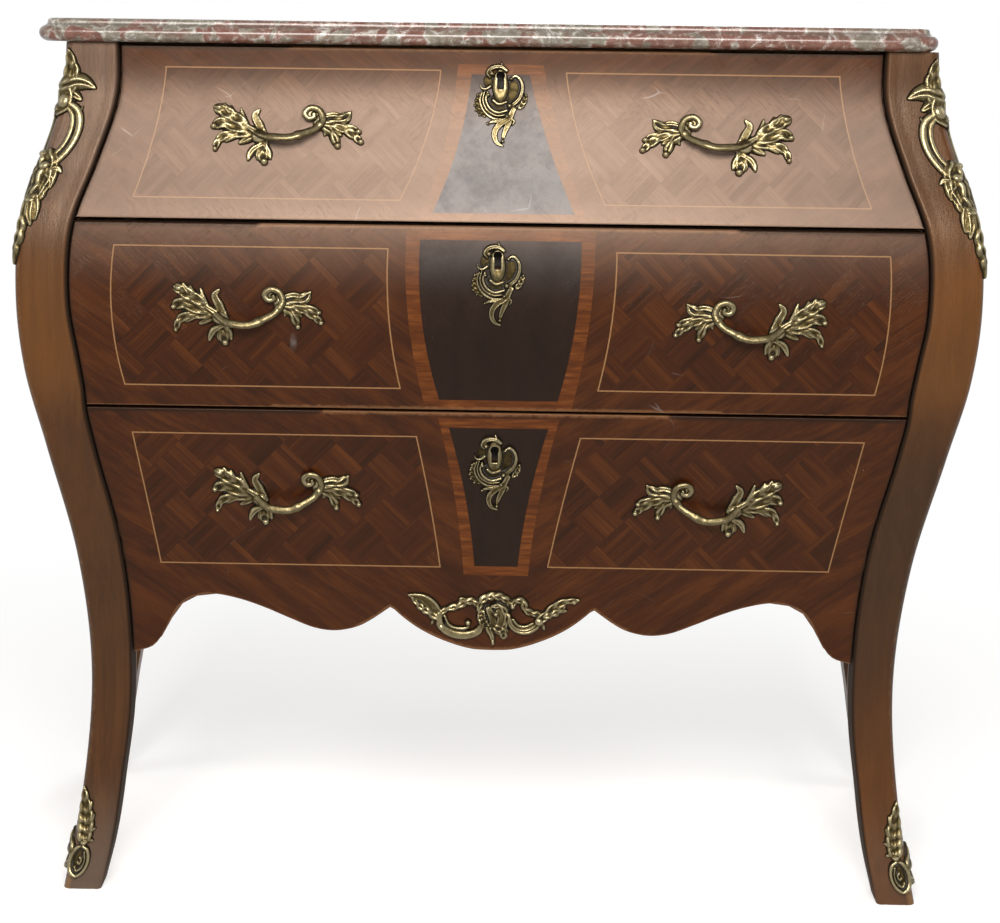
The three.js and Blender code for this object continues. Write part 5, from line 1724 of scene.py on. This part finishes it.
@dataclass
class Ornament:
    """All the cast mounts of the chest."""

    plan: CasePlan
    finish: Finish
    handle_size: float = 0.145
    apron_shift: float = 0.002
    corner_drop: float = 0.0057
    corner_lap: float = 0.002
    escutcheon_size: float = 0.080
    apron_size: float = 0.173
    apron_lift: float = 0.041
    corner_share: float = 0.2422
    foot_size: float = 0.092
    foot_start: float = 0.0105
    plate_hole: tuple[float, float, float] = (0.0038, 0.0027, 0.0125)
    plate_rise: float = 0.0048
    plate_cell: float = 0.00042
    post_cell: float = 0.00055
    sharp: float = 70.0
    handle_leaves: Sequence[Leaf] = leaves(
        ((-280, 75, -360, 118, -425, 155, -472, 178), 26, 72, 20, 1.0, 3, 3),
        ((-385, 150, -405, 175, -418, 198), 26, 26, 14, 0.9, 1, 0),
        ((-350, 125, -362, 155, -372, 182), 24, 22, 12, 0.85, 1, 0),
        ((-270, 15, -360, 50, -435, 72, -480, 50), 26, 64, 24, 0.95, 3, 2),
        ((-240, -5, -340, -4, -420, -20, -455, -58, -468, -112), 24, 46, 14, 0.9, 3, 3),
        ((-330, -10, -370, -30, -400, -50), 22, 28, 12, 0.8, 1, 0),
        ((-210, -10, -262, -36, -308, -60), 30, 40, 14, 0.8, 1, 0),
        ((-260, 55, -288, 110, -305, 170), 18, 30, 9, 0.85, 1, 0),
        ((-150, 0, -190, 70, -212, 125, -184, 164), 26, 42, 10, 0.9, 3, 0),
        ((-160, 10, -165, 50, -172, 85), 24, 24, 12, 0.8, 1, 0),
        ((-150, -20, -220, 22, -300, 72), 34, 34, 18, 1.1, 1, 0),
        ((-165, -75, -215, -104, -238, -135, -250, -172), 24, 42, 12, 0.95, 1, 0),
        ((-150, -50, -158, -120, -146, -190), 28, 56, 22, 0.95, 3, 2),
        ((-140, -80, -118, -120, -106, -162), 24, 34, 12, 0.85, 1, 0),
        ((-180, -110, -190, -140, -188, -168), 18, 22, 10, 0.8, 1, 0),
        ((210, 85, 300, 105, 370, 112, 416, 160), 34, 74, 7, 0.95, 5, 2),
        ((220, 60, 280, 30, 312, -20, 333, -80), 26, 50, 18, 0.95, 1, 2),
        ((300, 20, 332, 10, 356, -4), 22, 26, 10, 0.8, 1, 0),
        ((250, 30, 250, 15, 246, -2), 20, 20, 10, 0.7, 1, 0),
        ((230, 75, 330, 68, 420, 42, 472, 20), 22, 42, 16, 0.95, 3, 2),
        ((300, 60, 385, 30, 445, -8, 484, -50), 22, 44, 18, 0.95, 3, 3),
        ((380, 25, 402, 8, 412, -16), 18, 22, 10, 0.75, 1, 0),
    )
    handle_beads: Sequence[Bead] = beads(
        (-180, -20, 56, 50, 1.4), (215, 85, 50, 58, 1.2), (-144, -186, 27, 27, 1.15), (333, -74, 23, 23, 1.1),
        (-482, 48, 24, 22, 1.05), (484, -46, 23, 22, 1.05), (-468, -104, 18, 20, 1.0), (174, 132, 18, 18, 1.5),
        (468, 22, 23, 20, 1.0), (-448, 172, 30, 22, 1.0), (172, 134, 56, 40, 1.15, 0.35),
    )
    escutcheon_leaves: Sequence[Leaf] = leaves(
        ((72, 175, 13, 215, -57, 219, -118, 193, -150, 140, -125, 105), 26, 50, 26, 1.0, 1, 0),
        ((20, 225, 12, 250, 4, 275), 24, 18, 8, 0.8, 1, 0),
        ((-241, 12, -222, -34, -175, -44, -120, -10), 9, 20, 20, 0.85, 0, 0),
        ((-150, -80, -171, -167, -127, -265, -31, -318, 80, -292), 16, 28, 20, 1.15, 0, 0),
        ((-186, -70, -206, -175, -160, -285, -50, -352, 60, -345), 12, 24, 16, 0.9, 0, 0),
        ((-215, -80, -240, -180, -195, -300, -85, -385, 20, -398, 110, -360, 175, -270), 14, 26, 22, 0.8, 1, 0),
        ((-245, -100, -275, -190, -255, -290, -180, -365), 20, 40, 18, 0.65, 3, 5),
        ((120, 85, 180, 110, 232, 68, 260, -9, 252, -88, 215, -167, 150, -225), 18, 30, 36, 0.95, 1, 0),
        ((225, -265, 262, -215, 290, -165, 303, -110), 26, 50, 18, 0.8, 3, 3),
        ((165, -270, 100, -385, 10, -445, -52, -520, -62, -600, -28, -672, 38, -708), 36, 58, 14, 0.9, 3, 0),
        ((150, -300, 108, -430, 60, -540, 36, -630), 30, 52, 16, 0.85, 3, 0),
        ((-20, -420, -85, -425, -145, -447), 28, 30, 14, 0.85, 1, 0),
        ((130, -380, 168, -420, 145, -465), 18, 22, 8, 0.7, 1, 0),
        ((-85, -175, -20, -218, 70, -195), 22, 26, 22, 0.85, 0, 0),
    )
    escutcheon_beads: Sequence[Bead] = beads(
        (0, -10, 100, 205, 0.95, 0.55), (-105, 138, 34, 34, 1.35), (-145, -114, 28, 28, 1.3),
        (110, -237, 34, 34, 1.3), (127, 79, 26, 26, 1.1), (83, -362, 26, 26, 1.2), (35, -650, 26, 26, 1.2),
        (-145, -447, 21, 21, 1.1), (-268, -114, 22, 20, 0.9), (-289, -180, 20, 19, 0.9), (-298, -237, 20, 19, 0.9),
        (-283, -293, 20, 19, 0.9), (-241, -346, 20, 19, 0.9), (303, -112, 20, 22, 0.9), (305, -184, 19, 19, 0.9),
        (276, -243, 19, 19, 0.9), (150, -55, 100, 145, 0.2), (-10, -225, 175, 125, 0.22), (-135, 45, 70, 90, 0.2),
    )
    apron_leaves: Sequence[Leaf] = leaves(
        ((-315, 15, -350, 70, -405, 116, -490, 136), 30, 52, 8, 0.95, 3, 0),
        ((-320, 0, -385, 45, -425, 74, -470, 118), 22, 40, 10, 1.05, 1, 4),
        ((-320, 10, -345, -12, -356, -36), 18, 18, 8, 0.7, 1, 0),
        ((-315, 25, -305, -40, -250, -84, -165, -100, -95, -78, -70, -45), 22, 36, 22, 1.1, 0, 0),
        ((-282, 15, -255, -40, -200, -60, -150, -52, -140, -26), 10, 14, 12, 0.9, 0, 0),
        ((-315, 25, -264, 58, -205, 74, -160, 100, -115, 100, -75, 62), 18, 32, 24, 0.9, 1, 5),
        ((-185, 85, -190, 115, -170, 118), 16, 18, 10, 0.7, 1, 0),
        ((-90, 60, -70, 110, -20, 135, 30, 132, 75, 105, 98, 66), 22, 36, 22, 0.95, 1, 6),
        ((-10, 80, 40, 78, 72, 30, 70, -20, 48, -62), 18, 26, 18, 1.15, 1, 4),
        ((30, 50, 44, 10, 32, -40), 26, 44, 20, 1.25, 3, 0),
        ((-72, 45, -70, 0, -40, -50), 22, 36, 18, 1.0, 3, 4),
        ((-30, 60, -10, 10, 0, -50), 22, 34, 18, 1.1, 3, 0),
        ((10, -50, 50, -72, 56, -112), 30, 44, 16, 0.9, 5, 3),
        ((-30, -60, -12, -100, -4, -148), 26, 24, 10, 0.9, 1, 0),
        ((85, 15, 98, -32, 130, -62, 180, -72, 228, -52, 262, -12), 18, 30, 26, 1.1, 1, 0),
        ((110, 0, 135, -34, 180, -44, 222, -26), 10, 14, 12, 0.9, 0, 0),
        ((98, 75, 127, 112, 165, 104, 178, 60, 222, 34, 262, 30), 18, 30, 22, 0.85, 1, 5),
        ((250, -10, 300, 30, 350, 82, 410, 112, 480, 120), 28, 36, 12, 0.95, 3, 4),
        ((290, 20, 350, 44, 400, 80), 22, 34, 14, 1.0, 1, 3),
        ((330, 40, 372, 56, 412, 56), 22, 34, 8, 0.85, 1, 0),
        ((262, -10, 280, -35, 288, -60), 20, 18, 7, 0.7, 1, 0),
    )
    apron_beads: Sequence[Bead] = beads(
        (-5, 5, 96, 88, 0.45), (10, 34, 20, 20, 1.5), (-52, 12, 13, 12, 1.3), (-42, -10, 13, 12, 1.35),
        (-32, -31, 13, 12, 1.3), (-20, -51, 12, 12, 1.2), (-148, -24, 21, 21, 1.15), (86, 20, 16, 24, 1.2),
        (106, 76, 18, 18, 1.1), (-4, -142, 14, 18, 1.0), (-300, -52, 26, 22, 1.15), (258, -12, 32, 28, 1.1),
        (455, 108, 20, 16, 0.9), (-5, 140, 18, 14, 0.9),
    )
    corner_leaves: Sequence[Leaf] = leaves(
        ((34, 800, 40, 860, 40, 920, 22, 995), 40, 50, 6, 1.0, 3, 3),
        ((45, 860, 62, 885, 66, 905), 16, 16, 7, 0.8, 1, 0),
        ((10, 820, 60, 842, 105, 838, 156, 814), 50, 58, 8, 1.1, 1, 0),
        ((50, 790, 75, 775, 98, 760), 28, 26, 10, 0.8, 1, 0),
        ((20, 800, 30, 765, 28, 730, 8, 700), 34, 48, 18, 1.2, 3, 0),
        ((15, 740, -10, 715, -15, 685), 30, 32, 14, 0.9, 1, 0),
        ((45, 745, 95, 712, 124, 650, 127, 580, 104, 515, 66, 468, 30, 455), 18, 24, 20, 1.1, 0, 0),
        ((45, 725, 78, 690, 93, 640, 92, 580, 70, 525, 30, 500, 0, 505), 14, 16, 14, 0.9, 0, 0),
        ((95, 700, 110, 712, 116, 726), 12, 12, 5, 0.8, 0, 0),
        ((0, 720, -60, 720, -115, 640, -110, 540, -70, 460, 0, 420), 22, 22, 24, 1.0, 1, 0),
        ((0, 800, -70, 820, -150, 805), 40, 46, 10, 0.9, 1, 0),
        ((30, 505, 48, 440, 52, 370, 30, 290), 38, 76, 26, 1.05, 5, 3),
        ((60, 440, 95, 445, 120, 425), 18, 20, 6, 0.9, 1, 0),
        ((60, 420, 90, 390, 94, 360), 24, 28, 12, 0.9, 1, 0),
        ((55, 360, 72, 325, 68, 300), 22, 26, 12, 0.8, 1, 0),
        ((0, 440, -35, 380, -30, 310), 30, 40, 14, 0.9, 1, 0),
        ((35, 310, 55, 265, 72, 215), 30, 44, 12, 1.0, 3, 0),
        ((30, 310, 40, 240, 58, 188), 26, 34, 10, 0.95, 1, 0),
        ((20, 310, 20, 250, 26, 195), 26, 34, 12, 0.9, 1, 0),
        ((18, 220, 20, 150, 8, 90, 4, 30), 18, 36, 12, 0.9, 1, 3),
        ((4, 70, 2, 35, 0, 4), 14, 14, 8, 0.8, 0, 0),
    )
    corner_beads: Sequence[Bead] = beads(
        (118, 836, 19, 19, 1.25, 0.9), (28, 755, 26, 40, 1.35), (10, 512, 24, 18, 1.1), (34, 458, 24, 24, 1.2),
        (28, 300, 30, 18, 1.0),
    )
    foot_leaves: Sequence[Leaf] = leaves(
        ((110, 420, 98, 580, 64, 760, 14, 985), 70, 120, 10, 1.0, 3, 5),
        ((140, 500, 172, 530, 200, 540), 36, 34, 14, 0.9, 1, 0),
        ((130, 600, 150, 640, 165, 690), 34, 34, 12, 0.85, 1, 0),
        ((100, 720, 112, 780, 112, 830), 28, 30, 10, 0.8, 1, 0),
        ((130, 420, 165, 420, 195, 410), 34, 32, 20, 0.9, 1, 0),
        ((102, 355, 158, 320, 192, 235, 187, 140, 150, 65, 92, 32, 40, 70, 15, 155, 23, 265, 63, 340, 102,
          355), 24, 26, 24, 1.15, 0, 0),
        ((138, 290, 158, 200, 134, 115, 88, 85, 60, 130), 14, 22, 14, 0.95, 0, 0),
        ((100, 235, 124, 205, 107, 160, 82, 180), 14, 18, 12, 1.0, 0, 0),
        ((0, 280, -60, 400, -120, 500), 50, 54, 22, 0.9, 3, 2),
        ((0, 160, -80, 120, -150, 200), 40, 50, 24, 0.9, 1, 0),
    )
    foot_beads: Sequence[Bead] = beads(
        (102, 195, 94, 170, 0.42), (112, 390, 46, 34, 1.2),
    )

    def cast(self, draft: Draft, name: str, body: str, node: str) -> None:
        """Makes one mount's piece from its draft."""
        draft.piece(name, self.finish, body, Slot.BRASS, node, sharp=self.sharp, face_out=False)

    def handle(self, drawer: str, hand: Hand, out: float, up: float) -> None:
        """Builds one handle on a drawer.

        Args:
            drawer: which drawer.
            hand: which side.
            out: how far from the middle.
            up: its height.
        """
        place = on_drawer(self.plan, hand.value * out, up, -hand.value)
        flip = hand is Hand.LEFT
        draft = Draft()
        Casting(self.handle_size, self.handle_leaves, self.handle_beads).build(draft, place, flip=not flip)
        Bail().build(draft, place, flip=flip)
        side = hand.name.lower()
        self.cast(draft, f"{drawer}_{side}_bail_handle", f"{drawer}_drawer", f"{drawer}_drawer_{side}_handle")

    def escutcheon(self, drawer: str, keyhole: float, drop: float) -> None:
        """Builds one keyhole plate, hung a little lower round its keyhole where the photograph shows it so.

        Args:
            drawer: which drawer.
            keyhole: the keyhole's height.
            drop: how much lower the plate hangs.
        """
        place = on_drawer(self.plan, 0.0, keyhole - drop, 1)
        draft = Draft()
        Casting(self.escutcheon_size, self.escutcheon_leaves, self.escutcheon_beads, cell=self.plate_cell,
                rise=self.plate_rise, hole=self.plate_hole, hole_up=drop).build(draft, place, flip=False)
        self.cast(draft, f"{drawer}_keyhole_plate", f"{drawer}_drawer", f"{drawer}_drawer_escutcheon")

    def apron(self) -> None:
        """Builds the mount in the middle of the apron."""
        place = on_drawer(self.plan, self.apron_shift, self.plan.apron_tip + self.apron_lift, 1)
        draft = Draft()
        Casting(self.apron_size, self.apron_leaves, self.apron_beads).build(draft, place, flip=False)
        self.cast(draft, "apron_casting", "bottom_drawer", "apron_mount")

    def on_posts(self, hand: Hand) -> None:
        """Builds the shoulder mount and the foot mount of one front leg.

        Args:
            hand: which leg.
        """
        side = hand.name.lower()
        height = self.plan.height * self.corner_share
        parts = (("shoulder", "corner_mount", height, self.plan.height - height - self.corner_drop, self.corner_lap,
                  self.corner_leaves, self.corner_beads),
                 ("sabot", "foot_mount", self.foot_size, self.foot_start, 0.0, self.foot_leaves, self.foot_beads))
        for name, node, size, foot, lap, leaf_set, bead_set in parts:
            draft = Draft()
            place = round_ridge(self.plan, hand, foot, lap)
            Casting(size, leaf_set, bead_set, cell=self.post_cell).build(draft, place, flip=hand is Hand.RIGHT)
            self.cast(draft, f"{side}_{name}_casting", "carcase", f"{side}_{node}")


# The studio


@dataclass(frozen=True)
class Lamp:
    """A soft light: where it hangs, what it looks at, its width and height, its power in watts and its tint."""

    name: str
    place: Place
    aim: Place
    size: Span
    power: float
    tint: Colour = (1, 1, 1)

    def hang(self) -> None:
        """Hangs the light."""
        data = bpy.data.lights.new(self.name, "AREA")
        data.shape = "RECTANGLE"
        data.size, data.size_y = self.size
        data.energy = self.power
        data.color = self.tint
        made = bpy.data.objects.new(self.name, data)
        made.location = self.place
        made.rotation_euler = (Vector(self.aim) - Vector(self.place)).to_track_quat("-Z", "Y").to_euler()
        bpy.context.scene.collection.objects.link(made)


@dataclass
class Studio:
    """Floor, lights, sky and camera; none of it belongs to the chest."""

    plan: CasePlan
    image_width: float = 1000.0
    focal_pixels: float = 2400.5
    sensor: float = 36.0
    camera_right: float = -0.0024
    camera_back: float = 2.2972
    camera_height: float = 0.8606
    yaw: float = 0.02045
    pitch: float = 0.16290
    roll: float = 0.0126
    axis_left: float = 55.7
    axis_up: float = 45.0
    floor_reach: float = 7.0
    floor_lines: int = 29
    floor_drop: float = 0.0002
    shadow_span: Span = (0.7, 1.7)
    floor_pale: Colour = (0.74, 0.74, 0.735)
    floor_grey: Colour = (0.66, 0.66, 0.655)
    floor_glow: float = 0.38
    sky_strength: float = 0.25
    lamps: Sequence[Lamp] = (
        Lamp("window", (-0.05, -2.17, 1.54), (0.0, -0.2, 0.75), (1.36, 0.70), 72.0, (1.0, 0.97, 0.93)),
        Lamp("left_fill", (-2.6, -0.9, 1.7), (0.0, 0.0, 0.5), (1.2, 1.6), 13.0, (0.98, 0.99, 1.0)),
        Lamp("right_fill", (2.6, -0.3, 1.9), (0.0, 0.0, 0.5), (1.2, 1.6), 11.0),
        Lamp("back_fill", (0.4, 2.8, 2.0), (0.0, 0.0, 0.5), (1.8, 1.2), 46.0),
    )

    def camera(self) -> None:
        """Sets the camera where the photograph was taken from."""
        ahead = Vector((-math.sin(self.yaw) * math.cos(self.pitch), math.cos(self.yaw) * math.cos(self.pitch),
                        -math.sin(self.pitch)))
        right = ahead.cross(Vector((0, 0, 1))).normalized()
        up = right.cross(ahead)
        leaned = math.cos(self.roll) * right + math.sin(self.roll) * up
        raised = math.cos(self.roll) * up - math.sin(self.roll) * right
        data = bpy.data.cameras.new("photo_camera")
        data.sensor_width = self.sensor
        data.lens = self.sensor * self.focal_pixels / self.image_width
        data.shift_x = self.axis_left / self.image_width
        data.shift_y = -self.axis_up / self.image_width
        data.clip_start, data.clip_end = 0.05, 60
        made = bpy.data.objects.new("photo_camera", data)
        turn = Matrix((leaned, raised, -ahead)).transposed()
        place = Vector((self.camera_right, self.plan.front_line - self.camera_back, self.camera_height))
        made.matrix_world = Matrix.Translation(place) @ turn.to_4x4()
        bpy.context.scene.collection.objects.link(made)
        bpy.context.scene.camera = made

    def seen(self, graph: Graph) -> Socket:
        """A mask of the rays that show the background: from the camera, or off gloss or through glass."""
        path = graph.add("ShaderNodeLightPath").outputs
        return graph.math("MAXIMUM", graph.math("MAXIMUM", path["Is Camera Ray"], path["Is Glossy Ray"]),
                          path["Is Transmission Ray"])

    def floor(self) -> None:
        """Lays a pale floor that keeps the shadow near the chest and runs out to white."""
        mesh = bpy.data.meshes.new("studio_floor")
        reach = np.linspace(-self.floor_reach, self.floor_reach, self.floor_lines)
        x, y = np.meshgrid(reach, reach)
        points = np.stack([x, y, np.full(x.shape, -self.floor_drop)], axis=-1).reshape(-1, 3)
        n = len(reach)
        faces = [(r * n + c, r * n + c + 1, (r + 1) * n + c + 1, (r + 1) * n + c)
                 for r in range(n - 1) for c in range(n - 1)]
        mesh.from_pydata(points.tolist(), [], faces)
        made = bpy.data.objects.new("studio_floor", mesh)
        bpy.context.scene.collection.objects.link(made)
        material = bpy.data.materials.new("pale_floor")
        material.use_nodes = True
        g = Graph(material.node_tree)
        material.node_tree.nodes.remove(material.node_tree.nodes["Principled BSDF"])
        place = g.add("ShaderNodeTexCoord").outputs["Object"]
        away = g.step(g.add("ShaderNodeVectorMath", {0: place}, operation="LENGTH").outputs[1], *self.shadow_span)
        grain = g.noise(place, 60.0, 3.0)
        pale = g.lay(self.floor_pale, self.floor_grey, grain, 0.05)
        soft = g.add("ShaderNodeBsdfDiffuse", {"Color": pale})
        glow = g.add("ShaderNodeEmission", {"Color": (1, 1, 1, 1), "Strength": 1.0})
        shine = g.times(self.seen(g), self.floor_glow)
        faint = g.add("ShaderNodeEmission", {"Color": (1, 1, 1, 1), "Strength": shine})
        near = g.add("ShaderNodeAddShader", {0: soft.outputs[0], 1: faint.outputs[0]})
        white = g.add("ShaderNodeMixShader", {0: g.times(self.seen(g), away),
                                              1: near.outputs[0], 2: glow.outputs[0]})
        g.put(material.node_tree.nodes["Material Output"].inputs["Surface"], white.outputs[0])
        mesh.materials.append(material)

    def sky(self) -> None:
        """Gives a soft even sky that shows white behind the chest."""
        world = bpy.data.worlds.new("studio_sky")
        world.use_nodes = True
        g = Graph(world.node_tree)
        background = world.node_tree.nodes["Background"]
        g.put(background.inputs["Strength"], g.blend(self.seen(g), self.sky_strength, 1.0))
        background.inputs["Color"].default_value = (1, 1, 1, 1)
        bpy.context.scene.world = world

    def build(self) -> None:
        """Builds the studio."""
        self.camera()
        self.floor()
        self.sky()
        for lamp in self.lamps:
            lamp.hang()
        bpy.context.scene.view_settings.view_transform = "Standard"


@dataclass
class Drawer:
    """What differs from one drawer to the next."""

    name: str
    keyhole: float
    pull_out: float
    pull_up: float
    veneers: Marquetry
    left_nudge: Span
    right_nudge: Span
    plate_drop: float = 0.0
    scalloped: bool = False


def drawers() -> list[Drawer]:
    """The three drawers, from the top, with the lines of their veneers."""
    # The top drawer gets a painted sheen over its face, the middle one along its top border.
    top = Marquetry(
        left=PanelLines(0.6946, 0.8146, -0.3454, -0.3175, 0.0042, -0.0939, -0.0575, 0.0062),
        right=PanelLines(0.6928, 0.8134, 0.1007, 0.063, -0.0055, 0.3498, 0.320, -0.0042),
        field=PanelLines(0.6828, 0.8118, -0.0624, -0.0275, 0.0060, 0.0717, 0.0275, -0.0035), painted_sheen_amount=0.56)
    middle = Marquetry(
        left=PanelLines(0.5152, 0.6480, -0.3545, -0.3627, -0.0066, -0.0921, -0.1045, -0.0046),
        right=PanelLines(0.5158, 0.6473, 0.0982, 0.1128, 0.0040, 0.360, 0.3684, 0.0050),
        field=PanelLines(0.5040, 0.6577, -0.0538, -0.0734, -0.0072, 0.0592, 0.0786, 0.0058),
        painted_sheen_amount=0.13, painted_sheen_full=0.668, painted_sheen_none=0.598)
    bottom = Marquetry(
        left=PanelLines(0.3321, 0.4655, -0.3265, -0.3492, 0.0, -0.0526, -0.0762, 0.0014),
        right=PanelLines(0.3337, 0.4664, 0.0547, 0.0828, -0.0010, 0.3283, 0.3535, 0.0),
        field=PanelLines(0.3330, 0.4757, -0.0181, -0.0443, 0.0036, 0.0242, 0.051, -0.0036), band=0.0105)
    return [
        Drawer("top", 0.8047, 0.205, 0.753, top, (0.0032, 0.0), (0.0004, -0.004), 0.003),
        Drawer("middle", 0.6375, 0.239, 0.582, middle, (0.0024, 0.0025), (0.0004, -0.004), 0.003),
        Drawer("bottom", 0.4486, 0.2065, 0.3997, bottom, (0.005, 0.0035), (0.0012, -0.0012), scalloped=True),
    ]


def dress_nodes() -> None:
    """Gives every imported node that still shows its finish."""
    across = InnerWood(along="x").build("inner_wood_across")
    upright = InnerWood(along="z").build("inner_wood_upright")
    inward = InnerWood(along="y").build("inner_wood_inward")
    core = InnerWood(dark=(0.045, 0.018, 0.008), light=(0.13, 0.06, 0.027), along="x").build("stained_core")
    steel = PlainMetal((0.085, 0.080, 0.074), (0.025, 0.020, 0.017), 0.55).build("lock_steel")
    bolt = PlainMetal((0.60, 0.45, 0.20), (0.22, 0.15, 0.06), 0.35).build("lock_brass")
    for name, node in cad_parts.items():
        if name.endswith("_lock_case"):
            finish = steel
        elif name.endswith("_lock_bolt"):
            finish = bolt
        elif name.endswith("_drawer_front"):
            finish = core
        elif name == "back_panel":
            finish = upright
        elif name.endswith(("_side", "_runner")):
            finish = inward
        else:
            finish = across
        node.data.materials.clear()
        node.data.materials.append(finish)


def main() -> None:
    """Builds the studio and every piece in order."""
    logging.basicConfig(level=logging.INFO, format="%(name)s %(message)s")
    plan = CasePlan()
    Studio(plan).build()
    dress_nodes()
    walnut = WalnutVeneer().build()
    brass = AgedBrass().build()
    marble = Breccia().build()
    posts, side = Posts(plan, walnut), SidePanel(plan, walnut)
    for hand in Hand:
        posts.front(hand)
        posts.back(hand)
        side.build(hand)
    MarbleTop(plan, marble).build()
    ornament = Ornament(plan, brass)
    for drawer in drawers():
        finish = drawer.veneers.build(f"{drawer.name}_drawer_veneers")
        DrawerFace(plan, drawer.name, finish, drawer.keyhole, drawer.scalloped).build()
        for hand in Hand:
            across, up = drawer.left_nudge if hand is Hand.LEFT else drawer.right_nudge
            ornament.handle(drawer.name, hand, drawer.pull_out + hand.value * across, drawer.pull_up + up)
        ornament.escutcheon(drawer.name, drawer.keyhole, drawer.plate_drop)
    ornament.apron()
    for hand in Hand:
        ornament.on_posts(hand)


if __name__ == "__main__":
    main()
